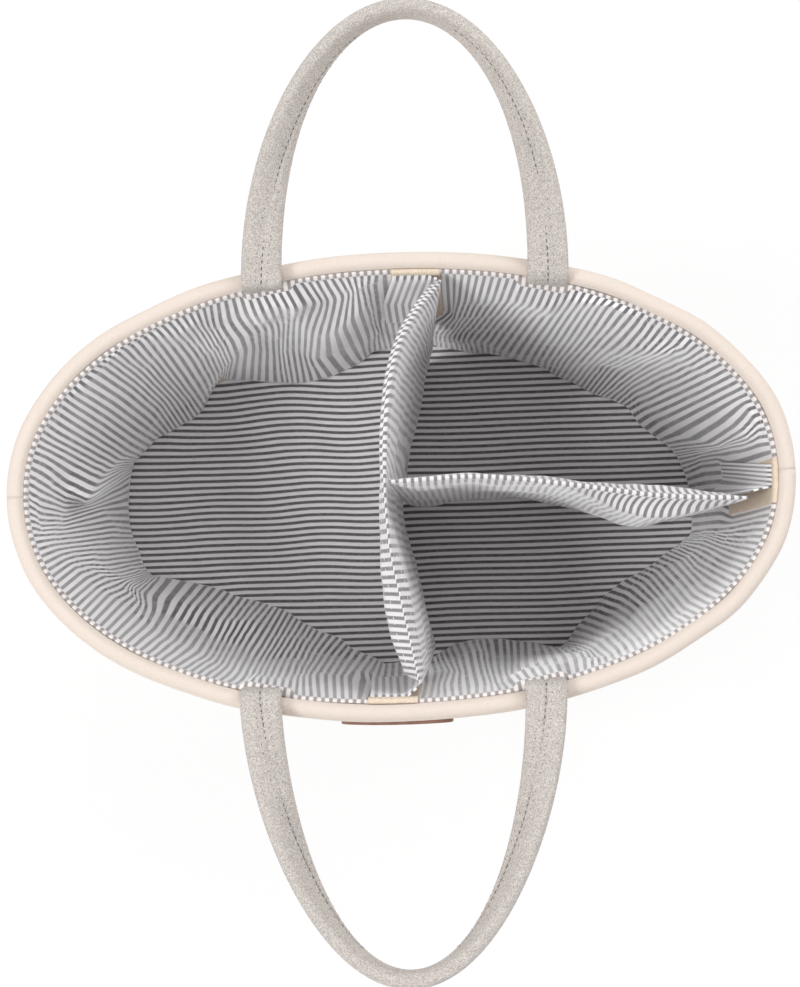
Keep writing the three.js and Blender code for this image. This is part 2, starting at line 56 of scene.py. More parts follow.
Array = np.ndarray
Surface = Callable[[Array, Array], Array]
Path = Callable[[Array], tuple[Array, Array]]
Piece = bpy.types.Object
Material = bpy.types.Material
Colour = tuple[float, float, float, float]
Pairs = tuple[tuple[float, float], ...]
WHITE: Colour = (1.0, 1.0, 1.0, 1.0)


class Side(Enum):
    """The long walls: the back one lies towards +Y, the front one towards -Y."""

    BACK = 1
    FRONT = -1

    @property
    def label(self) -> str:
        """The word that piece names end in."""
        return self.name.lower()


# Numbers and vectors


def mix(a: Any, b: Any, share: Any) -> Any:
    """Goes from a to b by a share from 0 to 1."""
    return a + (b - a) * share


def ease(value: Any, low: float, high: float) -> Array:
    """Climbs smoothly from 0 at low to 1 at high.

    Args:
        value: One number or an array of them.
        low: Where the climb starts.
        high: Where it ends.

    Returns:
        Shares from 0 to 1.
    """
    share = np.clip((np.asarray(value, float) - low) / (high - low), 0.0, 1.0)
    return share * share * (3 - 2 * share)


def signed_power(value: Any, power: float) -> Array:
    """Raises the size of a value to a power and keeps its sign."""
    value = np.asarray(value, float)
    return np.sign(value) * np.abs(value) ** power


def stack(*parts: Any) -> Array:
    """Points as rows of their parts, whichever of them are arrays."""
    return np.stack(np.broadcast_arrays(*(np.asarray(part, float) for part in parts)), axis=-1)


def unit(vectors: Array) -> Array:
    """The same directions, each one long."""
    return vectors / np.maximum(np.linalg.norm(vectors, axis=-1, keepdims=True), 1e-12)


def walked_along(line: Array) -> Array:
    """How far along a line each of its points lies."""
    return np.concatenate([[0.0], np.cumsum(np.linalg.norm(np.diff(line, axis=0), axis=1))])


def stepped(share: Array, pairs: Pairs) -> Array:
    """Values that go straight from one pair of share and value to the next."""
    places, values = zip(*pairs)
    return np.interp(share, places, values)


def normal_of(surface: Surface, s: Array, t: Array) -> Array:
    """The surface's own normal, from neighbours a thousandth of its span away."""
    near = 1e-3
    along = surface(s + near, t) - surface(s - near, t)
    up = surface(s, t + near) - surface(s, t - near)
    return unit(np.cross(along, up))


def lifted(surface: Surface, offset: Callable[[Array, Array], Any]) -> Surface:
    """A surface moved along its own normals.

    Args:
        surface: The surface to start from.
        offset: How far each place moves, in metres.

    Returns:
        The moved surface.
    """

    def place(s: Array, t: Array) -> Array:
        """One set of places on the moved surface."""
        return surface(s, t) + normal_of(surface, s, t) * np.asarray(offset(s, t))[..., None]

    return place


def flat_strip(length: float, width: float, start: float = 0.0) -> Surface:
    """The flat cloth of a straight strip, whose stripes begin a bit further on."""
    return lambda s, t: stack(s * length + start, t * width)


def between(start: Array, end: Array, slope_in: Array, slope_out: Array, part: Array) -> Array:
    """A cubic from start to end that leaves and arrives at the given slopes."""
    cube, square = part**3, part**2
    return (
        (2 * cube - 3 * square + 1) * start
        + (cube - 2 * square + part) * slope_in
        + (3 * square - 2 * cube) * end
        + (cube - square) * slope_out
    )


def through(points: Array, share: Array) -> Array:
    """A smooth line through points that doesn't overshoot where they lie close together.

    Args:
        points: The points as rows.
        share: Places on the line, each stretch between two points taking an equal share.

    Returns:
        The places as rows.
    """
    rows = np.vstack([2 * points[:1] - points[1:2], points, 2 * points[-1:] - points[-2:-1]])
    spot = np.clip(share, 0.0, 1.0) * (len(points) - 1)
    index = np.minimum(spot.astype(int), len(points) - 2)
    before, start, end, after = (rows[index + step] for step in range(4))
    pairs = ((before, start), (start, end), (end, after))
    near, here, far = (np.sqrt(np.linalg.norm(b - a, axis=-1, keepdims=True)) for a, b in pairs)
    slope_in = ((start - before) / near - (end - before) / (near + here)) * here + (end - start)
    slope_out = (end - start) - ((after - start) / (here + far) - (after - end) / far) * here
    return between(start, end, slope_in, slope_out, (spot - index)[..., None])


# The directions of the waves that make up a ripple, each as its share along and across the cloth.
WAVES = ((1.0, 0.35), (-0.62, 0.81), (0.47, -1.13), (1.31, 0.9))


def ripple(x: Any, y: Any, pitch: float, seed: float) -> Array:
    """Soft unevenness without a pattern that shows, from a few crossing waves.

    Args:
        x: Places along the cloth, in metres.
        y: Places across it, in metres.
        pitch: The usual distance from one rise to the next, in metres.
        seed: Shifts the waves, so that no two pieces are alike.

    Returns:
        Heights from about -1 to 1.
    """
    turn = 2 * math.pi / pitch
    total = 0.0
    for index, (fx, fy) in enumerate(WAVES):
        shift = seed * (1.7 + index) + 2.1 * index
        total = total + np.sin(turn * (fx * x + fy * y) + shift + 0.8 * np.sin(turn * 0.4 * (y - x) + seed))
    return total / 2.6


# Mesh making


def add_grid(
    name: str, columns: int, rows: int, place: Surface, cloth: Optional[Surface] = None, closed: bool = False
) -> Piece:
    """Lays a grid of faces over a surface.

    Args:
        name: The piece's name.
        columns: Faces along the surface's first direction.
        rows: Faces along its second direction.
        place: Gives the points, in metres, at shares of both directions.
        cloth: Gives the place on the flat cloth, in metres, at the same shares.
        closed: Whether its edges meet or are filled, so that it holds a volume.

    Returns:
        The new mesh object, at the origin.
    """
    bpy.ops.object.select_all(action="DESELECT")
    bpy.ops.mesh.primitive_grid_add(x_subdivisions=columns, y_subdivisions=rows, size=1.0)
    piece = bpy.context.object
    piece.name = piece.data.name = name
    mesh = piece.data
    flat = np.empty(len(mesh.vertices) * 3)
    mesh.vertices.foreach_get("co", flat)
    shares = flat.reshape(-1, 3)[:, :2] + 0.5
    mesh.vertices.foreach_set("co", place(shares[:, 0], shares[:, 1]).ravel())
    if cloth is not None:
        layer = mesh.uv_layers.active.data
        spots = np.empty(len(layer) * 2)
        layer.foreach_get("uv", spots)
        spots = spots.reshape(-1, 2)
        layer.foreach_set("uv", cloth(spots[:, 0], spots[:, 1]).ravel())
    mesh.update()
    if closed:
        weld_shut(piece)
    smooth_faces(piece)
    return piece


def weld_shut(piece: Piece, reach: float = 1e-5) -> None:
    """Merges points that meet, fills what is left open and turns all faces out."""
    bpy.ops.object.mode_set(mode="EDIT")
    bpy.ops.mesh.select_all(action="SELECT")
    bpy.ops.mesh.remove_doubles(threshold=reach)
    bpy.ops.mesh.select_all(action="SELECT")
    bpy.ops.mesh.fill_holes(sides=0)
    bpy.ops.mesh.select_all(action="SELECT")
    bpy.ops.mesh.normals_make_consistent(inside=False)
    bpy.ops.object.mode_set(mode="OBJECT")


def smooth_faces(piece: Piece) -> None:
    """Shades all faces of a piece as one curved surface."""
    piece.data.polygons.foreach_set("use_smooth", [True] * len(piece.data.polygons))
    piece.data.update()


def finish_with(piece: Piece, kind: str, **settings: Any) -> None:
    """Adds a modifier to a piece and applies it.

    Args:
        piece: The mesh object.
        kind: The modifier's type.
        settings: Its values.
    """
    bpy.ops.object.select_all(action="DESELECT")
    piece.select_set(True)
    bpy.context.view_layer.objects.active = piece
    modifier = piece.modifiers.new(kind.title(), kind)
    for key, value in settings.items():
        setattr(modifier, key, value)
    bpy.ops.object.modifier_apply(modifier=modifier.name)


def thicken(piece: Piece, thickness: float, offset: float = -1.0) -> None:
    """Gives a sheet its cloth's thickness, behind its face unless told otherwise."""
    finish_with(piece, "SOLIDIFY", thickness=thickness, offset=offset, use_even_offset=False)


def ring_path(profile: Sequence[tuple[float, float]]) -> Callable[[Array], Array]:
    """Makes a closed outline that is walked by a share of its length.

    Args:
        profile: Its points, without the first one repeated.

    Returns:
        A function that gives the points at shares from 0 to 1.
    """
    points = np.array([*profile, profile[0]], float)
    walked = walked_along(points)
    walked /= walked[-1]

    def at(share: Array) -> Array:
        """The outline's points at these shares."""
        return stack(*(np.interp(share, walked, column) for column in points.T))

    return at


def arc(centre: tuple[float, float], radius: float, start: float, end: float, steps: int) -> list:
    """Points on an arc of a flat outline, its angles in turns of a circle."""
    turns = np.linspace(start, end, steps + 1) * 2 * math.pi
    return [(centre[0] + radius * math.cos(a), centre[1] + radius * math.sin(a)) for a in turns]


# Shader making


class Shade:
    """A shader value, whose operators add the nodes that work them out."""

    def __init__(self, kit: "NodeKit", socket: bpy.types.NodeSocket) -> None:
        """Wraps one output socket of a node tree."""
        self.kit = kit
        self.socket = socket

    def _math(self, operation: str, *values: Any) -> "Shade":
        """Adds one Math node on this value and others."""
        return self.kit.math(operation, *values)

    def __add__(self, other: Any) -> "Shade":
        """This value plus another."""
        return self._math("ADD", self, other)

    __radd__ = __add__

    def __sub__(self, other: Any) -> "Shade":
        """This value less another."""
        return self._math("SUBTRACT", self, other)

    def __rsub__(self, other: Any) -> "Shade":
        """Another value less this one."""
        return self._math("SUBTRACT", other, self)

    def __mul__(self, other: Any) -> "Shade":
        """This value times another."""
        return self._math("MULTIPLY", self, other)

    __rmul__ = __mul__

    def __truediv__(self, other: Any) -> "Shade":
        """This value divided by another."""
        return self._math("DIVIDE", self, other)

    def fraction(self) -> "Shade":
        """What is left past the whole number."""
        return self._math("FRACT", self)

    def size(self) -> "Shade":
        """The value without its sign."""
        return self._math("ABSOLUTE", self)

    def sine(self) -> "Shade":
        """The sine of the value in radians."""
        return self._math("SINE", self)

    def eased(self, low: float, high: float) -> "Shade":
        """A smooth climb from 0 at low to 1 at high."""
        node = self.kit.add(
            "ShaderNodeMapRange",
            {"interpolation_type": "SMOOTHSTEP"},
            {"Value": self, "From Min": low, "From Max": high, "To Min": 0.0, "To Max": 1.0},
        )
        return Shade(self.kit, node.outputs[0])


class NodeKit:
    """The node tree of one material or world and the calls that fill it."""

    def __init__(self, owner: Material | bpy.types.World) -> None:
        """Empties the owner's tree."""
        owner.use_nodes = True
        self.owner = owner
        self.tree = owner.node_tree
        self.tree.nodes.clear()

    @classmethod
    def material(cls, name: str) -> "NodeKit":
        """Starts a new material."""
        return cls(bpy.data.materials.new(name))

    def add(self, kind: str, settings: dict[str, Any], inputs: dict[Any, Any]) -> bpy.types.Node:
        """Adds one node.

        Args:
            kind: The node's type.
            settings: Its own properties, set first.
            inputs: Values or Shades for its sockets, by name or index.

        Returns:
            The new node.
        """
        node = self.tree.nodes.new(kind)
        for key, value in settings.items():
            setattr(node, key, value)
        for key, value in inputs.items():
            if isinstance(value, Shade):
                self.tree.links.new(value.socket, node.inputs[key])
            else:
                node.inputs[key].default_value = value
        return node

    def math(self, operation: str, *values: Any) -> Shade:
        """Adds a Math node on Shades or numbers."""
        node = self.add("ShaderNodeMath", {"operation": operation}, dict(enumerate(values)))
        return Shade(self, node.outputs[0])

    def cloth(self) -> tuple[Shade, Shade]:
        """The place on the flat cloth, in metres, along and across it."""
        spot = self.add("ShaderNodeUVMap", {}, {})
        split = self.add("ShaderNodeSeparateXYZ", {}, {0: Shade(self, spot.outputs[0])})
        return Shade(self, split.outputs[0]), Shade(self, split.outputs[1])

    def place(self) -> Shade:
        """The place on the object, in metres."""
        return Shade(self, self.add("ShaderNodeTexCoord", {}, {}).outputs["Object"])

    def joined(self, x: Any, y: Any, z: Any) -> Shade:
        """Three values as one vector."""
        return Shade(self, self.add("ShaderNodeCombineXYZ", {}, {0: x, 1: y, 2: z}).outputs[0])

    def noise(self, vector: Shade, scale: float, detail: float = 2.0, rough: float = 0.5) -> Shade:
        """Cloudy noise from 0 to 1, its scale in clouds to a metre."""
        node = self.add(
            "ShaderNodeTexNoise",
            {},
            {"Vector": vector, "Scale": scale, "Detail": detail, "Roughness": rough},
        )
        return Shade(self, node.outputs[0])

    def cells(self, vector: Shade, scale: float) -> Shade:
        """The distance to the nearest of many scattered points."""
        node = self.add("ShaderNodeTexVoronoi", {}, {"Vector": vector, "Scale": scale})
        return Shade(self, node.outputs["Distance"])

    def blend(self, share: Any, low: Any, high: Any) -> Shade:
        """A colour between two colours."""
        node = self.add("ShaderNodeMix", {"data_type": "RGBA"}, {0: share, 6: low, 7: high})
        return Shade(self, node.outputs[2])

    def bump(self, height: Shade, strength: float, distance: float) -> Shade:
        """Normals bent by a height, its distance in metres."""
        node = self.add("ShaderNodeBump", {}, {"Strength": strength, "Distance": distance, "Height": height})
        return Shade(self, node.outputs[0])

    def finish(self, **inputs: Any) -> Material:
        """Ends the tree in one shader.

        Args:
            inputs: The shader's sockets, with underscores for spaces.

        Returns:
            The finished material.
        """
        named = {key.replace("_", " "): value for key, value in inputs.items()}
        return self.end(self.add("ShaderNodeBsdfPrincipled", {}, named))

    def end(self, shader: bpy.types.Node, kind: str = "ShaderNodeOutputMaterial") -> Any:
        """Leads a shader to the output and gives the owner of the tree."""
        self.tree.links.new(shader.outputs[0], self.tree.nodes.new(kind).inputs[0])
        return self.owner

    def rays(self, kind: str) -> Shade:
        """1 for rays of one kind, such as Camera."""
        return Shade(self, self.add("ShaderNodeLightPath", {}, {}).outputs[f"Is {kind} Ray"])


def srgb(red: int, green: int, blue: int) -> Colour:
    """A colour as seen on a screen, from 0 to 255, in the shader's own scale."""

    def linear(level: int) -> float:
        """One channel without its screen curve."""
        share = level / 255
        return share / 12.92 if share <= 0.04045 else ((share + 0.055) / 1.055) ** 2.4

    return (linear(red), linear(green), linear(blue), 1.0)


@dataclass(frozen=True)
class FeltFinish:
    """Pressed wool felt, with short fibres and a heather of two tones."""

    name: str
    light: Colour
    dark: Colour
    fleck_pitch: float
    fleck_share: float
    fuzz_height: float
    sheen: float = 0.1

    def make(self) -> Material:
        """Builds the material."""
        kit = NodeKit.material(self.name)
        place = kit.place()
        fibres = kit.noise(place, 1 / self.fleck_pitch, 4.0, 0.7)
        clouds = kit.noise(place, 0.12 / self.fleck_pitch, 3.0)
        heather = fibres.eased(0.5 - self.fleck_share, 0.5 + self.fleck_share) * 0.8 + clouds * 0.2
        colour = kit.blend(heather, self.dark, self.light)
        height = fibres + kit.noise(place, 0.35 / self.fleck_pitch, 3.0) * 1.5
        return kit.finish(
            Base_Color=colour,
            Roughness=0.95,
            Specular_IOR_Level=0.2,
            Sheen_Weight=self.sheen,
            Sheen_Roughness=0.6,
            Normal=kit.bump(height, 0.55, self.fuzz_height),
        )


@dataclass(frozen=True)
class TickingFinish:
    """Woven cotton with one dark and one light stripe to a repeat."""

    name: str = "ticking"
    repeat: float = 4.0 * MM
    light: Colour = srgb(252, 249, 250)
    dark: Colour = srgb(88, 86, 89)
    edge_share: float = 0.16
    dark_level: float = 0.46
    thread_pitch: float = 0.38 * MM

    def make(self) -> Material:
        """Builds the material."""
        kit = NodeKit.material(self.name)
        along, across = kit.cloth()
        wander = kit.noise(kit.joined(along * 60, across * 60, 0.0), 1.0) - 0.5
        phase = ((along + wander * 0.25 * MM) / self.repeat).fraction()
        level = (phase - 0.5).size() * 2
        middle = 1 - self.dark_level
        stripe = level.eased(middle - self.edge_share, middle + self.edge_share)
        threads = kit.noise(kit.joined(along * 2600, across * 260, 0.0), 1.0, 2.0)
        picks = kit.noise(kit.joined(along * 260, across * 2600, 0.0), 1.0, 2.0)
        tone = (threads * 0.6 + picks * 0.4 - 0.5) * 0.55
        share = stripe * 0.94 + tone * (0.35 + stripe * 0.65)
        share = kit.math("MINIMUM", kit.math("MAXIMUM", share, 0.0), 1.0)
        turn = 2 * math.pi / self.thread_pitch
        weave = (along * turn).sine() * (across * turn).sine()
        return kit.finish(
            Base_Color=kit.blend(share, self.light, self.dark),
            Roughness=0.82,
            Specular_IOR_Level=0.25,
            Sheen_Weight=1.0,
            Sheen_Roughness=0.5,
            Normal=kit.bump(weave * 0.5 + threads, 0.25, 0.12 * MM),
        )


@dataclass(frozen=True)
class TapeFinish:
    """Fastening tape: a pile of fine loops or stiff hooks on a woven band."""

    name: str
    light: Colour
    dark: Colour
    pile_pitch: float

    def make(self) -> Material:
        """Builds the material."""
        kit = NodeKit.material(self.name)
        place = kit.place()
        pile = kit.cells(place, 1 / self.pile_pitch)
        fuzz = kit.noise(place, 0.4 / self.pile_pitch, 4.0, 0.7)
        share = (pile * 0.5 + fuzz * 0.9).eased(0.35, 1.05)
        return kit.finish(
            Base_Color=kit.blend(share, self.light, self.dark),
            Roughness=0.8,
            Specular_IOR_Level=0.3,
            Normal=kit.bump(fuzz - pile * 0.5, 0.5, 0.3 * MM),
        )


@dataclass(frozen=True)
class LeatherFinish:
    """Smooth brown leather with a fine pore grain."""

    name: str = "label_leather"
    light: Colour = srgb(150, 112, 96)
    dark: Colour = srgb(118, 84, 70)
    pore_pitch: float = 0.55 * MM

    def make(self) -> Material:
        """Builds the material."""
        kit = NodeKit.material(self.name)
        place = kit.place()
        pores = kit.cells(place, 1 / self.pore_pitch)
        clouds = kit.noise(place, 140.0, 4.0, 0.6)
        share = (clouds + pores * 0.25).eased(0.3, 0.85)
        rough = 0.5 + clouds * 0.15
        return kit.finish(
            Base_Color=kit.blend(share, self.dark, self.light),
            Roughness=rough,
            Normal=kit.bump(pores + clouds * 0.6, 0.35, 0.25 * MM),
        )


@dataclass(frozen=True)
class CoreFinish:
    """Foam or board inside the walls: one colour with fine cells."""

    name: str
    light: Colour
    dark: Colour
    cell_pitch: float

    def make(self) -> Material:
        """Builds the material."""
        kit = NodeKit.material(self.name)
        place = kit.place()
        cells = kit.cells(place, 1 / self.cell_pitch)
        return kit.finish(
            Base_Color=kit.blend(cells.eased(0.1, 0.8), self.light, self.dark),
            Roughness=0.9,
            Normal=kit.bump(cells, 0.4, 0.3 * MM),
        )


@dataclass(frozen=True)
class ThreadFinish:
    """Sewing thread with its twist."""

    name: str
    colour: Colour
    shade: Colour

    def make(self) -> Material:
        """Builds the material."""
        kit = NodeKit.material(self.name)
        fibres = kit.noise(kit.place(), 2500.0, 2.0)
        return kit.finish(
            Base_Color=kit.blend(fibres, self.shade, self.colour),
            Roughness=0.6,
            Normal=kit.bump(fibres, 0.3, 0.05 * MM),
        )


class Thread(Enum):
    """The sewing threads, each with its colour and the shade between its fibres."""

    WHITE = (srgb(245, 243, 240), srgb(214, 211, 208))
    GREY = (srgb(116, 111, 108), srgb(88, 84, 82))
    PALE = (srgb(214, 208, 203), srgb(170, 164, 159))
    BEIGE = (srgb(226, 216, 200), srgb(190, 178, 160))
    BROWN = (srgb(112, 80, 66), srgb(82, 56, 45))

    @property
    def label(self) -> str:
        """The word that its material's name starts with."""
        return self.name.lower()


class Finishes:
    """Every material of the caddy, made once."""

    def __init__(self) -> None:
        """Builds the materials from their finishes."""
        self.cream = FeltFinish(
            "shell_felt", srgb(229, 216, 206), srgb(219, 206, 195),
            fleck_pitch=1.1 * MM, fleck_share=0.3, fuzz_height=0.25 * MM,
        ).make()
        self.grey = FeltFinish(
            "handle_felt", srgb(226, 219, 213), srgb(148, 141, 135),
            fleck_pitch=0.75 * MM, fleck_share=0.2, fuzz_height=0.3 * MM,
        ).make()
        self.ticking = TickingFinish().make()
        # The divider's covers are the lining's ticking painted darker in both stripes: painted shade against the
        # light on the panels.
        self.cover_ticking = TickingFinish(
            "cover_ticking", light=srgb(235, 231, 233), dark=srgb(120, 117, 121)
        ).make()
        self.hem_ticking = TickingFinish("hem_ticking", light=srgb(238, 233, 231), dark=srgb(150, 141, 139)).make()
        self.loops = TapeFinish("loop_tape", srgb(240, 224, 205), srgb(212, 193, 171), 0.6 * MM).make()
        self.hooks = TapeFinish("hook_tape", srgb(214, 203, 186), srgb(170, 158, 138), 0.9 * MM).make()
        self.leather = LeatherFinish().make()
        self.foam = CoreFinish("padding", srgb(236, 230, 214), srgb(214, 206, 186), 1.2 * MM).make()
        self.board = CoreFinish("stiffener_board", srgb(176, 160, 140), srgb(150, 134, 114), 0.8 * MM).make()
        self.threads = {thread: ThreadFinish(f"{thread.label}_thread", *thread.value).make() for thread in Thread}


# The body's form, as the frame has it


@dataclass(frozen=True)
class WallForm:
    """The oval wall, flared from its base to its rim, in metres."""

    height: float = 178 * MM
    rim_half_length: float = 202.5 * MM
    rim_half_width: float = 120.5 * MM
    base_half_length: float = 182 * MM
    base_half_width: float = 106 * MM
    rim_power: float = 2.12
    base_power: float = 2.3
    flare_power: float = 1.6

    def point(self, angle: Any, height: Any, depth: Any) -> Array:
        """Points at an angle and height, moved in square to the outline.

        Args:
            angle: Round the caddy in radians, 0 at the right end and half a turn at the left one.
            height: Above the base.
            depth: In from the outside.

        Returns:
            The points as rows.
        """
        share = np.clip(np.asarray(height, float) / self.height, 0.0, 1.0)
        rise = 1 - (1 - share) ** self.flare_power
        half_length = mix(self.base_half_length, self.rim_half_length, rise)
        half_width = mix(self.base_half_width, self.rim_half_width, rise)
        power = mix(self.base_power, self.rim_power, rise)
        cosine, sine = np.cos(angle), np.sin(angle)
        x = half_length * signed_power(cosine, 2 / power)
        y = half_width * signed_power(sine, 2 / power)
        slope = 2 * (power - 1) / power
        nx = signed_power(cosine, slope) / half_length
        ny = signed_power(sine, slope) / half_width
        length = np.hypot(nx, ny)
        return stack(x - nx / length * depth, y - ny / length * depth, height)

    def angle_at_x(self, x: Any, side: Side) -> Any:
        """The angle at which the rim passes an X, on the back or the front."""
        return side.value * np.arccos(signed_power(np.asarray(x) / self.rim_half_length, self.rim_power / 2))

    def angle_at_y(self, y: Any) -> Any:
        """The angle at which the rim's right end passes a Y."""
        return np.arcsin(signed_power(np.asarray(y) / self.rim_half_width, self.rim_power / 2))


@dataclass(frozen=True)
class Layers:
    """How thick the wall's layers are and where each one starts, in metres."""

    gap: float = 0.3 * MM
    felt: float = 2 * MM
    foam: float = 5 * MM
    cloth: float = 1.2 * MM
    lip_drop: float = 14 * MM
    base_lip: float = 5 * MM
    shell_foot: float = 5.3 * MM
    floor_foot: float = 5.6 * MM
    lining_foot: float = 7.1 * MM
    hem_top: float = 173.4 * MM
    anchor_depth: float = 9.9 * MM
    anchor_length: float = 28 * MM
    patch_depth: float = 10.9 * MM
    tab_depth: float = 13.2 * MM
    fold_depth: float = 16.2 * MM

    @property
    def wall(self) -> float:
        """From the outside of the felt to the inside of its lip."""
        return self.felt * 2 + self.foam + self.gap * 2

    @property
    def lining_depth(self) -> float:
        """Where the lining starts."""
        return self.wall + self.gap

    @property
    def roll_radius(self) -> float:
        """The radius of the rounded rim."""
        return self.wall / 2


WALL = WallForm()
LAYERS = Layers()


class Stitcher:
    """Sews rows of thread: one stitch is modelled, and the row is copies of it in one mesh."""

    def __init__(self) -> None:
        """Models the one stitch, a short capsule along X."""
        bpy.ops.object.select_all(action="DESELECT")
        bpy.ops.mesh.primitive_uv_sphere_add(segments=6, ring_count=4, radius=0.5)
        pattern = bpy.context.object
        flat = np.empty(len(pattern.data.vertices) * 3)
        pattern.data.vertices.foreach_get("co", flat)
        self.points = flat.reshape(-1, 3)
        self.faces = sorted(tuple(face.vertices) for face in pattern.data.polygons)
        bpy.data.objects.remove(pattern)

    def sew(
        self, name: str, middles: Array, headings: Array, normals: Array,
        length: float, width: float, thread: Material,
    ) -> Piece:
        """Lays stitches on a surface, each half sunk into it.

        Args:
            name: The row's name.
            middles: Where each stitch lies, as rows.
            headings: Which way each one runs.
            normals: The surface's normal at each one.
            length: How long a stitch is.
            width: How thick the thread is.
            thread: Its material.

        Returns:
            The row as one mesh object.
        """
        ahead = unit(headings)
        across = unit(np.cross(normals, ahead))
        up = np.cross(ahead, across)
        shaped = self.points * np.array([length, width, width * 0.8])
        placed = (
            middles[:, None, :]
            + shaped[None, :, 0:1] * ahead[:, None, :]
            + shaped[None, :, 1:2] * across[:, None, :]
            + shaped[None, :, 2:3] * up[:, None, :]
        )
        count = len(self.points)
        faces = [
            tuple(index + count * row for index in face) for row in range(len(middles)) for face in self.faces
        ]
        mesh = bpy.data.meshes.new(name)
        mesh.from_pydata(placed.reshape(-1, 3).tolist(), [], faces)
        piece = bpy.data.objects.new(name, mesh)
        bpy.context.scene.collection.objects.link(piece)
        smooth_faces(piece)
        mesh.materials.append(thread)
        return piece

    def along(
        self,
        name: str,
        surface: Surface,
        path: Path,
        pitch: float,
        thread: Material,
        width: float = 0.55 * MM,
        fill_share: float = 0.62,
        slant: float = 0.0,
    ) -> Piece:
        """Sews a row along a path drawn on a surface.

        Args:
            name: The row's name.
            surface: The surface it lies on.
            path: Gives the surface's two shares at shares of the path.
            pitch: From one stitch to the next.
            thread: The thread's material.
            width: How thick the thread is.
            fill_share: How much of the pitch a stitch covers.
            slant: How far the stitches turn off the path by turns, in radians.

        Returns:
            The row as one mesh object.
        """
        fine = np.linspace(0.0, 1.0, 1200)
        walked = walked_along(surface(*path(fine)))
        count = max(2, int(round(walked[-1] / pitch)))
        spots = np.interp((np.arange(count) + 0.5) / count * walked[-1], walked, fine)
        step = 0.5 / len(fine)
        headings = surface(*path(spots + step)) - surface(*path(spots - step))
        normals = normal_of(surface, *path(spots))
        headings = unit(headings)
        if slant:
            turn = slant * np.where(np.arange(count) % 2, 1.0, -1.0)[:, None]
            headings = headings * np.cos(turn) + np.cross(normals, headings) * np.sin(turn)
        return self.sew(name, surface(*path(spots)), headings, normals, pitch * fill_share, width, thread)


def report(piece: Piece) -> None:
    """Says that a piece is made."""
    LOG.info("%s: %d faces", piece.name, len(piece.data.polygons))


def dress(piece: Piece, material: Material, body: str) -> Piece:
    """Gives a piece its material and the body that it moves with, and logs it."""
    piece.data.materials.clear()
    piece.data.materials.append(material)
    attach(piece, body)
    report(piece)
    return piece


def sewn(piece: Piece, body: str) -> Piece:
    """Gives a row of stitches its body and logs it."""
    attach(piece, body)
    report(piece)
    return piece


# The caddy's sub-assemblies


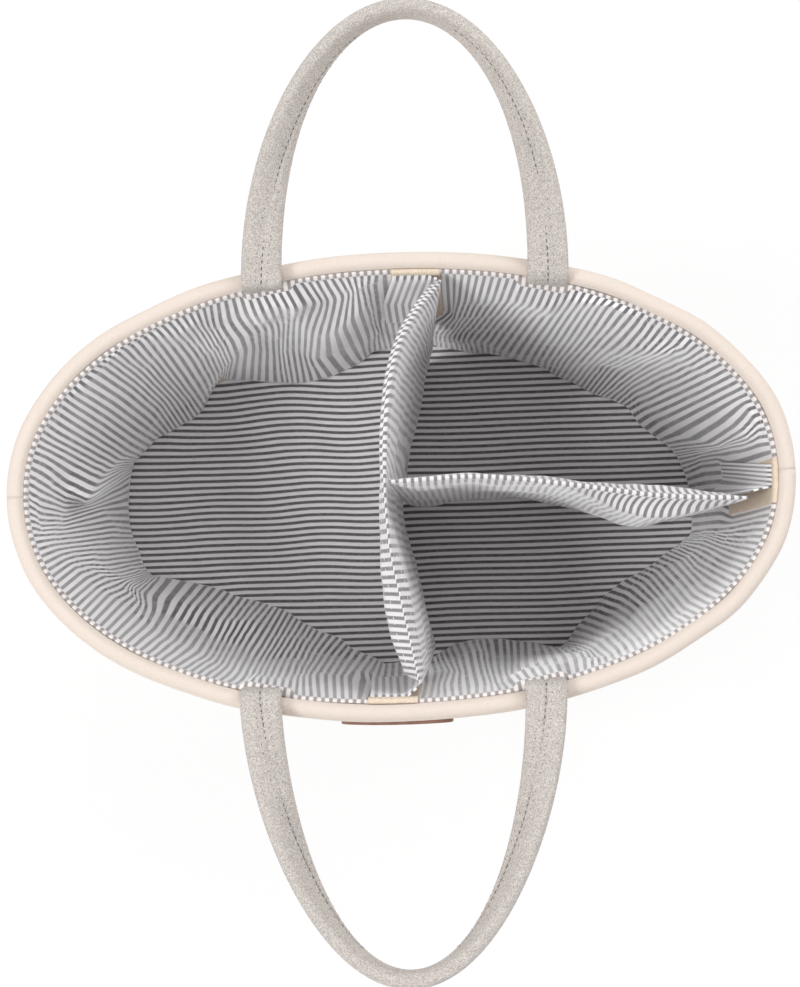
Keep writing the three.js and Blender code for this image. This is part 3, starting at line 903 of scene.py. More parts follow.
@dataclass
class Shell:
    """Two felt panels over foam, rolled over at the rim and sewn to a felt base."""

    finishes: Finishes
    columns: int = 220
    section_steps: int = 96
    arc_steps: int = 16
    base_edge_radius: float = 4 * MM
    dish_reach: float = 0.98 * WALL.base_half_width
    board_inset: float = 8 * MM
    seam_gap: float = 0.01 * MM
    seam_round: float = 1.6 * MM
    seam_soften: float = 0.03 * MM
    slack: float = 0.5 * MM
    slack_pitch: float = 95 * MM
    slack_foot: float = 40 * MM
    slack_end: float = 30 * MM

    def felt_outline(self) -> list[tuple[float, float]]:
        """The felt's section as depth and height: up the outside, over the foam and down as a lip."""
        roll = (LAYERS.roll_radius, WALL.height - LAYERS.roll_radius)
        lip_foot = WALL.height - LAYERS.lip_drop
        inner = LAYERS.roll_radius - LAYERS.felt
        return [
            (0.0, LAYERS.shell_foot),
            *arc(roll, LAYERS.roll_radius, 0.5, 0.0, self.arc_steps),
            (LAYERS.wall, lip_foot),
            (LAYERS.wall - LAYERS.felt, lip_foot),
            *arc(roll, inner, 0.0, 0.5, self.arc_steps),
            (LAYERS.felt, LAYERS.shell_foot),
        ]

    def foam_outline(self) -> list[tuple[float, float]]:
        """The foam's section, rounded where it fills the rim."""
        outer = LAYERS.felt + LAYERS.gap
        roll = (outer + LAYERS.foam / 2, WALL.height - LAYERS.roll_radius)
        return [
            (outer, LAYERS.floor_foot),
            *arc(roll, LAYERS.foam / 2, 0.5, 0.0, self.arc_steps),
            (outer + LAYERS.foam, LAYERS.floor_foot),
        ]

    def half(self, name: str, side: Side, outline: list, soften: float) -> Piece:
        """Sweeps a section along one half of the wall.

        Args:
            name: The piece's name.
            side: Which half.
            outline: The section as depth and height.
            soften: How far the panel's ends are rounded where the halves meet.

        Returns:
            The closed mesh object.
        """
        walk = ring_path(outline)
        seam = float(WALL.angle_at_y(self.seam_gap / 2))
        middle = np.mean(np.array(outline), axis=0)

        def place(s: Array, t: Array) -> Array:
            """The swept surface, slack in its middle and drawn in a little towards its ends."""
            angle = side.value * mix(seam, math.pi - seam, s)
            depth, height = walk(t).T
            end = np.minimum(s, 1 - s) * math.pi * WALL.base_half_width
            pull = soften * np.exp(-end / self.seam_round)
            depth = depth + pull * np.sign(middle[0] - depth)
            swell = self.slack * ripple(angle * WALL.rim_half_length, height, self.slack_pitch, side.value + 2.0)
            swell = swell * ease(height, 0.0, self.slack_foot) * ease(end, 0.0, self.slack_end)
            return WALL.point(angle, height, depth + swell)

        return add_grid(name, self.columns, self.section_steps, place, closed=True)

    def base_panel(self) -> Piece:
        """A felt dish with a rounded lower edge and a low lip."""
        radius = self.base_edge_radius
        outline = [
            (self.dish_reach, 0.0),
            *arc((radius, radius), radius, 0.75, 0.5, self.arc_steps),
            (0.0, LAYERS.base_lip),
            (LAYERS.felt, LAYERS.base_lip),
            (LAYERS.felt + radius * 0.5, LAYERS.felt),
            (self.dish_reach, LAYERS.felt),
        ]
        walk = ring_path(outline)
        wall_width = 2 * radius

        def place(s: Array, t: Array) -> Array:
            """The dish, its inner part drawn towards the middle."""
            depth, height = walk(t).T
            edge = WALL.point(s * 2 * math.pi, height, np.minimum(depth, wall_width))
            share = np.clip((depth - wall_width) / (WALL.base_half_width - wall_width), 0.0, 1.0)
            edge[:, :2] *= (1 - share)[:, None]
            return edge

        return add_grid("base_panel_felt", self.columns, self.section_steps, place, closed=True)

    def board(self) -> Piece:
        """The stiff board that lies in the dish."""
        foot = LAYERS.felt + LAYERS.gap
        top = LAYERS.floor_foot - LAYERS.gap

        def place(s: Array, t: Array) -> Array:
            """Up the edge and over the top, from the middle of the underside."""
            reach = np.interp(t, [0.0, 0.3, 0.7, 1.0], [0.0, 1.0, 1.0, 0.0])
            height = np.interp(t, [0.0, 0.35, 0.65, 1.0], [foot, foot, top, top])
            edge = WALL.point(s * 2 * math.pi, 0.0, self.board_inset)
            return stack(edge[:, 0] * reach, edge[:, 1] * reach, height)

        return add_grid("base_board_card", 120, 20, place, closed=True)

    def build(self) -> None:
        """Makes the walls, their padding and the bottom."""
        for side in Side:
            label = side.label
            felt = self.half(f"wall_felt_{label}", side, self.felt_outline(), self.seam_soften)
            dress(felt, self.finishes.cream, "tote")
            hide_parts(f"shell_{label}")
            foam = self.half(f"wall_foam_{label}", side, self.foam_outline(), 0.0)
            dress(foam, self.finishes.foam, "tote")
            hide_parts(f"wall_padding_{label}")
        base = dress(self.base_panel(), self.finishes.cream, "tote")
        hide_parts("base_panel")
        board = dress(self.board(), self.finishes.board, "tote")
        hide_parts("base_board")


# Each line runs down the lining along a stripe, in millimetres: the turn at which it leaves the hem in degrees,
# three bends as x, y and z, and the x and y at which it meets the floor.
FOLD_LINES = (
    (179.6, -189, -3, 157, -186, -4, 115, -181, 2, 78, -173, 17),
    (176.4, -189, 5, 160, -186, 1, 120, -180, 2, 93, -172, 25),
    (173.2, -189, 12, 159, -184, 5, 126, -174, 0, 123, -171, 29),
    (170.6, -187, 18, 154, -183, 11, 125, -172, 5, 111, -170, 31),
    (166.3, -185, 26, 157, -180, 22, 122, -171, 16, 95, -170, 33),
    (160.9, -181, 34, 151, -176, 30, 109, -169, 25, 73, -169, 34),
    (154.7, -174, 46, 160, -170, 41, 104, -165, 35, 51, -167, 36),
    (147.8, -164, 57, 168, -160, 54, 111, -156, 49, 52, -155, 48),
    (142.4, -153, 67, 163, -149, 64, 108, -146, 59, 52, -146, 52),
    (137.9, -145, 73, 170, -142, 70, 119, -140, 65, 59, -139, 56),
    (133.5, -135, 78, 164, -134, 74, 115, -132, 66, 36, -131, 60),
    (130.4, -127, 82, 166, -127, 78, 126, -126, 69, 50, -126, 65),
    (125.9, -115, 85, 158, -113, 81, 107, -114, 75, 55, -120, 76),
    (121.8, -105, 89, 158, -103, 83, 111, -105, 79, 68, -115, 84),
    (116.5, -95, 91, 145, -93, 85, 119, -94, 82, 92, -109, 83),
    (113.7, -84, 94, 146, -80, 89, 125, -81, 87, 107, -96, 82),
    (111.7, -76, 96, 155, -74, 92, 122, -79, 89, 78, -89, 81),
    (109.0, -66, 98, 163, -66, 94, 118, -73, 88, 52, -77, 80),
    (106.3, -56, 99, 162, -59, 96, 126, -67, 90, 68, -70, 79),
    (104.3, -49, 99, 159, -55, 95, 118, -61, 91, 62, -64, 79),
    (102.2, -39, 100, 153, -49, 94, 112, -57, 89, 45, -56, 80),
    (100.3, -35, 101, 147, -45, 92, 94, -52, 87, 44, -46, 82),
    (97.5, -24, 103, 152, -32, 93, 104, -31, 93, 39, -27, 90),
    (94.1, -17, 106, 161, -15, 99, 138, -15, 99, 70, -19, 97),
    (91.8, -10, 107, 159, -11, 105, 126, -12, 102, 70, -11, 98),
    (88.8, 3, 109, 150, 1, 106, 107, 0, 102, 61, -1, 100),
    (84.8, 19, 108, 149, 17, 106, 106, 14, 102, 60, 13, 100),
    (82.3, 26, 105, 116, 22, 102, 78, 19, 99, 47, 19, 100),
    (80.3, 35, 104, 121, 32, 101, 89, 23, 98, 45, 23, 98),
    (77.1, 44, 102, 125, 39, 100, 90, 31, 97, 51, 33, 96),
    (73.6, 56, 101, 131, 47, 98, 85, 39, 95, 50, 42, 94),
    (70.0, 68, 99, 143, 58, 96, 87, 50, 92, 50, 52, 93),
    (66.1, 81, 96, 152, 70, 92, 82, 63, 88, 41, 62, 91),
    (62.5, 92, 93, 164, 82, 88, 79, 77, 84, 42, 77, 86),
    (59.1, 101, 90, 171, 92, 85, 81, 87, 81, 40, 88, 82),
    (55.3, 111, 88, 171, 105, 83, 109, 97, 80, 46, 94, 77),
    (51.6, 122, 83, 170, 115, 80, 119, 108, 76, 73, 102, 74),
    (47.6, 132, 78, 160, 127, 73, 131, 118, 77, 46, 110, 69),
    (43.3, 141, 72, 152, 136, 68, 138, 126, 74, 48, 117, 65),
    (39.0, 150, 66, 168, 145, 65, 158, 137, 69, 67, 123, 63),
    (35.7, 155, 63, 147, 146, 65, 94, 137, 65, 36, 130, 60),
    (30.7, 163, 56, 148, 154, 57, 88, 143, 58, 20, 137, 56),
    (26.4, 169, 49, 145, 160, 49, 79, 147, 48, 22, 143, 46),
    (21.9, 176, 41, 153, 167, 40, 90, 159, 39, 24, 154, 36),
    (17.5, 181, 34, 168, 178, 28, 143, 173, 25, 80, 161, 31),
    (13.5, 185, 26, 170, 181, 21, 158, 176, 19, 113, 164, 27),
    (9.4, 187, 20, 163, 183, 17, 151, 177, 21, 83, 166, 24),
    (6.0, 188, 14, 155, 184, 15, 122, 175, 19, 51, 168, 19),
    (2.5, 189, 9, 140, 184, 12, 93, 176, 16, 38, 170, 14),
    (-1.0, 189, -1, 137, 185, 2, 91, 178, 5, 40, 172, 6),
    (-5.8, 189, -11, 138, 184, -9, 90, 177, -6, 38, 172, -5),
    (-10.3, 187, -20, 138, 183, -19, 100, 178, -18, 59, 173, -16),
    (-13.1, 185, -25, 135, 180, -26, 102, 175, -25, 66, 172, -23),
    (-17.4, 182, -32, 134, 178, -30, 99, 174, -27, 68, 170, -25),
    (-22.0, 178, -38, 131, 175, -34, 97, 173, -29, 66, 168, -26),
    (-26.0, 173, -42, 111, 171, -35, 73, 169, -32, 46, 165, -29),
    (-31.3, 167, -51, 118, 165, -45, 75, 165, -38, 44, 160, -32),
    (-34.4, 161, -57, 119, 162, -48, 69, 162, -40, 29, 155, -35),
    (-37.8, 155, -63, 122, 156, -52, 56, 153, -43, 20, 149, -40),
    (-41.4, 147, -70, 133, 149, -59, 57, 146, -48, 20, 141, -45),
    (-45.6, 140, -75, 128, 142, -63, 45, 136, -54, 20, 130, -50),
    (-49.0, 133, -78, 121, 134, -67, 31, 127, -61, 18, 119, -58),
    (-52.9, 123, -85, 146, 123, -78, 79, 120, -72, 20, 110, -68),
    (-56.1, 114, -88, 137, 113, -82, 85, 110, -80, 36, 101, -76),
    (-59.4, 104, -92, 147, 101, -88, 100, 100, -87, 68, 94, -86),
    (-63.2, 95, -93, 149, 95, -90, 121, 93, -90, 72, 90, -89),
    (-65.5, 87, -93, 128, 87, -91, 111, 88, -91, 72, 87, -89),
    (-67.7, 78, -94, 116, 78, -93, 101, 80, -92, 55, 80, -88),
    (-69.5, 71, -96, 125, 71, -94, 104, 73, -93, 46, 74, -86),
    (-71.6, 63, -99, 139, 62, -97, 110, 65, -93, 32, 66, -85),
    (-73.5, 57, -103, 158, 56, -101, 116, 59, -94, 32, 59, -84),
    (-75.3, 52, -104, 145, 52, -99, 86, 53, -92, 24, 53, -83),
    (-76.5, 48, -104, 133, 47, -99, 85, 47, -92, 32, 46, -83),
    (-79.2, 42, -104, 126, 40, -96, 63, 39, -88, 42, 37, -83),
    (-81.5, 32, -105, 127, 31, -100, 93, 29, -91, 38, 26, -85),
    (-84.5, 20, -105, 115, 23, -99, 75, 19, -95, 28, 17, -90),
    (-86.8, 14, -105, 104, 15, -100, 58, 13, -96, 19, 12, -93),
    (-90.0, -1, -106, 113, -3, -103, 69, -4, -99, 36, -5, -95),
    (-93.1, -16, -106, 113, -16, -103, 80, -17, -100, 47, -18, -96),
    (-95.9, -29, -100, 95, -27, -98, 74, -26, -95, 26, -24, -92),
    (-99.4, -42, -99, 99, -42, -97, 79, -42, -92, 24, -38, -86),
    (-102.5, -54, -98, 108, -54, -96, 83, -52, -88, 30, -45, -79),
    (-105.7, -61, -99, 122, -63, -92, 59, -61, -84, 36, -57, -75),
    (-110.4, -75, -99, 141, -79, -89, 53, -74, -80, 38, -69, -68),
    (-114.4, -83, -98, 156, -88, -90, 77, -84, -77, 38, -78, -61),
    (-118.9, -100, -91, 108, -103, -81, 43, -94, -67, 42, -89, -57),
    (-124.3, -113, -86, 102, -115, -78, 57, -111, -67, 44, -105, -52),
    (-128.5, -128, -78, 91, -129, -69, 41, -123, -59, 42, -117, -47),
    (-132.7, -138, -73, 99, -141, -64, 49, -137, -55, 36, -132, -43),
    (-136.7, -150, -65, 90, -151, -59, 71, -156, -49, 50, -155, -38),
    (-141.2, -159, -56, 91, -158, -52, 72, -161, -46, 63, -160, -37),
    (-146.0, -167, -49, 104, -164, -46, 81, -163, -42, 66, -161, -36),
    (-150.9, -173, -43, 112, -171, -39, 91, -165, -39, 75, -163, -34),
    (-155.7, -178, -36, 127, -176, -34, 106, -171, -34, 87, -166, -28),
    (-160.9, -182, -30, 136, -180, -27, 114, -173, -25, 68, -168, -21),
    (-166.1, -185, -24, 149, -183, -22, 126, -174, -16, 56, -171, -14),
    (-171.0, -187, -18, 159, -185, -16, 128, -175, -8, 50, -173, -7),
    (-176.5, -189, -11, 157, -186, -9, 115, -178, 1, 62, -174, 5),
)


@dataclass
class Lining:
    """The loose striped lining: a wall sheet that hangs in folds from its hem, a hem strip and a floor."""

    finishes: Finishes
    columns: int = 610
    rows: int = 74
    bend_rows: tuple[float, ...] = (1.0, 0.82, 0.56, 0.28, 0.0)
    sheet_thickness: float = LAYERS.cloth * 0.5
    crease_round: float = 2.4 * MM
    crease_passes: int = 3
    held_rows: int = 6
    wrinkle_height: float = 0.55 * MM
    strap_places: dict[Side, tuple[float, float]] = field(
        default_factory=lambda: {Side.BACK: (-66 * MM, 81 * MM), Side.FRONT: (-72 * MM, 71.5 * MM)}
    )
    strap_width: float = 21 * MM
    strap_push: float = 3.1 * MM
    strap_fade: float = 5 * MM
    push_squash: float = 2.8
    patch_places: Pairs = (
        (15.5 * MM, 120 * MM), (-4.9 * MM, -120 * MM), (202 * MM, -7 * MM)
    )
    patch_reach: float = 15 * MM
    patch_length: float = 92 * MM
    patch_fade: float = 10 * MM
    hem_columns: int = 1400
    hem_rows: int = 12
    hem_width: float = 10 * MM
    hem_profile: Pairs = (
        (10.3, 173.4), (10.6, 171.2), (10.8, 171.0), (10.95, 171.8), (10.9, 173.3), (10.5, 174.2), (9.9, 174.6),
        (9.2, 174.4),
    )
    hem_puff: float = 0.25 * MM
    hem_puff_pitch: float = 9 * MM
    hem_free_share: float = 0.2
    floor_inset: float = 5 * MM
    floor_rise: float = 1.5 * MM
    floor_askew: float = 1.5 * MM

    def __post_init__(self) -> None:
        """Measures the hem, so that its stripes are even, and lays out the fold lines."""
        turns = np.linspace(math.pi, -math.pi, 6001)
        line = WALL.point(turns, LAYERS.hem_top, LAYERS.lining_depth + LAYERS.cloth)
        walked = walked_along(line)
        self.hem_length = float(walked[-1])
        self._turns, self._walked = turns, walked / walked[-1]
        lines = np.array(FOLD_LINES, float)
        self._line_shares = np.interp(-np.radians(lines[:, 0]), -turns, self._walked)
        foot = np.column_stack([lines[:, 10:12], np.full(len(lines), 8.0)])
        self._bends = np.stack([lines[:, 1:4], lines[:, 4:7], lines[:, 7:10], foot], axis=1) * MM
        self._net = self._laid_net()

    def turn_at(self, s: Array) -> Array:
        """The angle at a share of the hem's length."""
        return np.interp(np.mod(s, 1.0), self._walked, self._turns)

    def strap_push_at(self, angle: Array, height: Array) -> Array:
        """How far a sewn-in strap end pushes the lining in."""
        top = WALL.point(angle, WALL.height, 0.0)
        foot = WALL.height - LAYERS.anchor_length
        push = np.zeros(np.shape(top)[:-1])
        for side, places in self.strap_places.items():
            distance = np.min([np.abs(top[..., 0] - x) for x in places], axis=0)
            across = 1 - ease(distance, self.strap_width / 2, self.strap_width / 2 + self.strap_fade)
            push = np.where(np.sign(angle) == side.value, across, push)
        return self.strap_push * push * ease(height, foot - LAYERS.anchor_length, foot)

    def _laid_net(self) -> Array:
        """The wall sheet's points, row by row from the floor up: straight between bends, then rounded."""
        shares = (np.arange(self.columns) + 0.5) / self.columns
        around = np.concatenate([self._line_shares - 1, self._line_shares, self._line_shares + 1])
        angle = self.turn_at(shares)
        hem = WALL.point(angle, LAYERS.hem_top, LAYERS.lining_depth + LAYERS.cloth / 2)
        levels = [hem]
        for level in range(4):
            tripled = np.concatenate([self._bends[:, level]] * 3)
            levels.append(stack(*(np.interp(shares, around, column) for column in tripled.T)))
        ups = np.linspace(0.0, 1.0, self.rows + 1)
        stops = np.array(self.bend_rows)[::-1]
        rails = np.stack(levels[::-1])
        index = np.clip(np.searchsorted(stops, ups, side="right") - 1, 0, len(stops) - 2)
        part = ((ups - stops[index]) / (stops[index + 1] - stops[index]))[:, None, None]
        net = rails[index] * (1 - part) + rails[index + 1] * part
        net = self._rounded(net)
        net += self._wrinkles(shares, ups, net)
        net = self._flattened(net, angle)
        push = self.strap_push_at(angle[None, :], net[..., 2])
        outward = unit(stack(net[..., 0] / self.push_squash, net[..., 1], 0.0))
        return net - outward * push[..., None]

    def _flattened(self, net: Array, angle: Array) -> Array:
        """Lays the cloth against the wall where a tape is sewn to it."""
        height = net[..., 2]
        flat = WALL.point(angle[None, :], height, LAYERS.lining_depth + LAYERS.cloth / 4)
        rim = WALL.point(angle, WALL.height, 0.0)
        foot = LAYERS.hem_top - self.patch_length
        for x, y in self.patch_places:
            distance = np.hypot(rim[:, 0] - x, rim[:, 1] - y)
            near = 1 - ease(distance, self.patch_reach, 1.6 * self.patch_reach)
            net = mix(net, flat, (near * ease(height, foot - self.patch_fade, foot + self.patch_fade))[..., None])
        return net

    def _rounded(self, net: Array) -> Array:
        """Rounds the creases, with the hem and the floor's seam kept in place."""
        across = max(1, int(self.crease_round / (self.hem_length / self.columns)))
        down = max(1, int(self.crease_round / (LAYERS.hem_top / self.rows)))
        soft = net.copy()
        for _ in range(self.crease_passes):
            wide = np.concatenate([soft[:, -across:], soft, soft[:, :across]], axis=1)
            soft = np.mean([wide[:, i:i + self.columns] for i in range(2 * across + 1)], axis=0)
            tall = np.concatenate([np.repeat(soft[:1], down, 0), soft, np.repeat(soft[-1:], down, 0)])
            soft = np.mean([tall[i:i + self.rows + 1] for i in range(2 * down + 1)], axis=0)
        row = np.arange(self.rows + 1)
        hold = ease(np.minimum(row, self.rows - row), 0, self.held_rows)
        return mix(net, soft, hold[:, None, None])

    def _wrinkles(self, shares: Array, ups: Array, net: Array) -> Array:
        """Small wrinkles across the folds, deeper where the cloth is bunched."""
        along = shares[None, :] * self.hem_length
        up = ups[:, None] * LAYERS.hem_top
        ds = np.roll(net, -1, axis=1) - np.roll(net, 1, axis=1)
        dt = np.gradient(net, axis=0)
        normal = unit(np.cross(ds, dt))
        bunched = np.clip(1.3 - np.linalg.norm(ds, axis=-1) / (2 * self.hem_length / self.columns), 0.0, 1.0)
        wave = ripple(along, up * 0.8, 34 * MM, 1.0) + 0.5 * ripple(along * 1.4, up, 17 * MM, 4.0)
        hold = ease(ups, 0.0, 0.12) * (1 - ease(ups, 0.9, 1.0))
        height = self.wrinkle_height * wave * hold[:, None] * (0.6 + 1.6 * bunched)
        return normal * height[..., None]

    def wall_face(self, s: Array, t: Array) -> Array:
        """The lining's inner face, round from the left end and up from the floor."""
        column = np.mod(s, 1.0) * self.columns - 0.5
        row = np.clip(t, 0.0, 1.0) * self.rows
        left, low = np.floor(column).astype(int), np.minimum(np.floor(row).astype(int), self.rows - 1)
        a, b = (column - left)[..., None], (row - low)[..., None]
        left, right = np.mod(left, self.columns), np.mod(left + 1, self.columns)
        lower = mix(self._net[low, left], self._net[low, right], a)
        upper = mix(self._net[low + 1, left], self._net[low + 1, right], a)
        return mix(lower, upper, b)

    def wall_sheet(self) -> Piece:
        """The wall's one long sheet."""
        cloth = flat_strip(self.hem_length, LAYERS.hem_top - LAYERS.lining_foot)
        sheet = add_grid("lining_wall", self.columns, self.rows, self.wall_face, cloth)
        thicken(sheet, self.sheet_thickness)
        return sheet

    def hem_face(self, s: Array, t: Array) -> Array:
        """The hem strip's face, round from the left end, up its side and over the top."""
        angle = self.turn_at(s)
        profile = np.array(self.hem_profile) * MM
        places = np.linspace(0.0, 1.0, len(profile))
        depth, height = (np.interp(t, places, profile[:, axis]) for axis in range(2))
        push = self.strap_push_at(angle, np.full_like(height, LAYERS.hem_top))
        push = push * np.minimum(1.0, (1 - t) / self.hem_free_share)
        turn = s * self.hem_length / self.hem_puff_pitch * 2 * math.pi
        puff = self.hem_puff * np.sin(turn + 1.2 * np.sin(s * 91))
        return WALL.point(angle, height, depth + push + puff * np.sin(t * math.pi))

    def hem_strip(self) -> Piece:
        """The narrow strip that binds the lining's edge; its stripes fall between those below."""
        cloth = flat_strip(self.hem_length, self.hem_width, TickingFinish.repeat / 2)
        strip = add_grid("lining_hem", self.hem_columns, self.hem_rows, self.hem_face, cloth)
        thicken(strip, self.sheet_thickness)
        return strip

    def floor_sheet(self) -> Piece:
        """The floor's oval sheet, its stripes along the caddy."""
        top = LAYERS.floor_foot + LAYERS.cloth

        def spot(s: Array, t: Array) -> tuple[Array, Array]:
            """The flat place in the oval."""
            edge = WALL.point(s * 2 * math.pi, LAYERS.lining_foot, self.floor_inset)
            return edge[:, 0] * t, edge[:, 1] * t

        def place(s: Array, t: Array) -> Array:
            """Out from the middle to the seam, with soft rises towards the left end."""
            x, y = spot(s, t)
            looser = 0.45 + 0.9 * ease(-x, -20 * MM, 90 * MM)
            rise = 0.5 + 0.5 * ripple(x * 0.7, y * 1.5, 62 * MM, 3.0) + 0.35 * ripple(x, y, 30 * MM, 6.0)
            return stack(x, y, top + self.floor_rise * looser * rise * (1 - t**6))

        def cloth(s: Array, t: Array) -> Array:
            """The flat oval, its first direction across the caddy, drawn askew by the wrinkles."""
            x, y = spot(s, t)
            looser = 0.25 + 0.75 * ease(-x, -40 * MM, 90 * MM)
            askew = self.floor_askew * looser * ripple(x * 0.9, y * 0.5, 85 * MM, 2.0)
            return stack(y + askew, x)

        sheet = add_grid("lining_floor_sheet", 360, 110, place, cloth)
        thicken(sheet, self.sheet_thickness)
        return sheet

    def build(self) -> None:
        """Makes the wall, the hem and the floor of the lining."""
        wall = dress(self.wall_sheet(), self.finishes.ticking, "tote")
        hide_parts("lining_front", "lining_back")
        hem = dress(self.hem_strip(), self.finishes.hem_ticking, "tote")
        floor = dress(self.floor_sheet(), self.finishes.ticking, "tote")
        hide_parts("lining_floor")


@dataclass(frozen=True)
class PanelPlan:
    """What one padded panel is like, each as a function of the share along it.

    The swell is how much fuller a side is along its upper half, and rolled is 1 where its top edge is rolled
    over a groove. The slant turns the stripes on the rolled edge as a share of a repeat, the skew leans them down
    the faces and the shear across the full top. The step sets one cover's stripes off against the other's.
    """

    name: str
    face: Surface
    swell: Callable[[Array, Array], Any]
    rolled: Callable[[Array], Any]
    slant: Callable[[Array], Any]
    skew: Callable[[Array, Array], Any]
    shear: Callable[[Array, Array], Any]
    roll: float
    step: float
    seed: float


@dataclass(frozen=True)
class Fastening:
    """Where one tab and its patch lie.

    The tab starts on the panel's end, along the fold, and side is the way in which its thickness goes. At gives
    the wall's angle at a distance from the panel's end. The tab lies on the wall from press to free. Its foot leans
    further along, less and less up to its top, over a drop that is a share of its height.
    """

    name: str
    fold: Callable[[Array], Array]
    side: int
    at: Callable[[Any], Any]
    press: float
    free: float
    lean: float
    lean_drop: float
    patch_middle: float


@dataclass
class Divider:
    """The lift-out divider: a cross panel, a long panel and three fastening tabs."""

    finishes: Finishes
    stitcher: Stitcher
    top: float = 169 * MM
    half_thickness: float = 2.6 * MM
    edge_half_thickness: float = 0.9 * MM
    edge_fade: float = 9 * MM
    seam_share: float = 0.03
    roll_radius: float = 2.1 * MM
    groove_drop: float = 4.4 * MM
    front_swell: float = 4.5 * MM
    left_swell: float = 5 * MM
    left_swell_places: Pairs = ((0.0, 1.0), (0.1, 0.8), (0.2, 0.5), (0.35, 0.0))
    right_sink: float = 2 * MM
    right_leans: Pairs = ((0.52, -0.06), (0.6, 0.03), (0.7, 0.07), (0.8, 0.11), (0.9, 0.16))
    end_swell: float = 9 * MM
    back_foot_x: float = 13.5 * MM
    front_foot_x: float = 11.5 * MM
    back_top_x: float = 26.5 * MM
    front_top_x: float = 8 * MM
    top_places: Pairs = (
        (4, -82), (-0.8, -57.5), (-5.6, -30), (-7.3, 2), (-6.5, 29), (-2.9, 57), (4.5, 79), (15, 95)
    )
    foot_places: Pairs = (
        (8.5, -72), (3.6, -50), (-1.8, -26), (-4.2, 2), (-1.2, 25), (4.5, 49), (9, 69), (12, 82)
    )
    junction_place: int = 4
    long_sway: float = 18 * MM
    long_top_sway_shares: tuple[float, ...] = (0.15, 0.17, -0.15, -0.56, -0.72)
    long_foot_sway_shares: tuple[float, ...] = (0.05, 0.28, 0.15, -0.42, -0.78)
    tape_length: float = 92 * MM
    tape_thickness: float = 0.6 * MM
    tape_margin: float = 2.5 * MM
    tape_gap: float = 0.1 * MM
    stitch_margin: float = 1.5 * MM
    patch_width: float = 26 * MM
    tab_thickness: float = 0.9 * MM
    tab_width: float = 27 * MM
    back_lifts: tuple[float, float] = (3 * MM, -2.8 * MM)
    front_lifts: tuple[float, float] = (1.5 * MM, 1.4 * MM)
    end_lifts: tuple[float, float] = (7 * MM, 7 * MM)
    tab_rise: float = 3.8 * MM
    tab_settle: float = 2.3 * MM
    tab_settle_drop: float = 4 * MM
    press_share: float = 1 / 3
    root_share: float = 0.15
    patch_over_hem: float = 1.5 * MM
    patch_profile: Pairs = (
        (0.0, 0.0), (0.9, 0.0), (0.955, 0.9), (0.98, 0.7), (0.99, 0.0), (1.0, -1.7)
    )
    stitch_pitch: float = 2.8 * MM
    thread_width: float = 0.5 * MM
    stitch_drop: float = 0.6 * MM

    @property
    def foot(self) -> float:
        """Where the panels start, on the lining's floor."""
        return LAYERS.lining_foot

    @property
    def junction_share(self) -> float:
        """Where along the cross panel the long panel is sewn on."""
        return self.junction_place / (len(self.top_places) + 1)

    def end_line(self, angles: tuple[Any, Any], lifts: tuple[float, float]) -> Callable[[Array], Array]:
        """The straight line up which a panel ends, off the wall by the lifts of its tab at foot and top."""
        foot = WALL.point(angles[0], self.foot, LAYERS.fold_depth + lifts[0])
        top = WALL.point(angles[1], self.top, LAYERS.fold_depth + lifts[1])
        return lambda t: mix(foot, top, np.asarray(t)[..., None])

    def back_end(self, t: Array) -> Array:
        """The line where the cross panel meets the back."""
        angles = tuple(WALL.angle_at_x(x, Side.BACK) for x in (self.back_foot_x, self.back_top_x))
        return self.end_line(angles, self.back_lifts)(t)

    def front_end(self, t: Array) -> Array:
        """The line where the cross panel meets the front."""
        angles = tuple(WALL.angle_at_x(x, Side.FRONT) for x in (self.front_foot_x, self.front_top_x))
        return self.end_line(angles, self.front_lifts)(t)

    def right_end(self, t: Array) -> Array:
        """The line where the long panel meets the right end."""
        shares = (self.long_foot_sway_shares[-1], self.long_top_sway_shares[-1])
        angles = tuple(WALL.angle_at_y(self.long_sway * share) for share in shares)
        return self.end_line(angles, self.end_lifts)(t)

    def cross_line(self, places: Pairs, height: float, t: float) -> Array:
        """The points of the cross panel's run at one height, from the front to the back."""
        inner = np.array([(x * MM, y * MM, height) for x, y in places])
        return np.vstack([self.front_end(t), inner, self.back_end(t)])

    def cross_face(self, s: Array, t: Array) -> Array:
        """The cross panel's middle, from the front wall to the back."""
        s, t = np.broadcast_arrays(np.asarray(s, float), np.asarray(t, float))
        foot = through(self.cross_line(self.foot_places, self.foot, 0.0), s)
        top = through(self.cross_line(self.top_places, self.top, 1.0), s)
        return mix(foot, top, t[..., None])

    def cross_swell(self, s: Array) -> Array:
        """How much fuller the cross panel is between the front wall and the long panel's seam."""
        return self.front_swell * np.sin(math.pi * np.minimum(1.0, s / self.junction_share)) ** 2

    def sway(self, shares: tuple[float, ...], s: Array) -> Array:
        """A smooth line through evenly spaced side steps, as shares of the sway."""
        values = np.array(shares) * self.long_sway
        last = len(values) - 1
        spot = np.clip(s, 0.0, 1.0) * last
        index = np.minimum(spot.astype(int), last - 1)
        before = values[np.maximum(index - 1, 0)]
        start, end = values[index], values[index + 1]
        after = values[np.minimum(index + 2, last)]
        return between(start, end, (end - before) / 2, (after - start) / 2, spot - index)

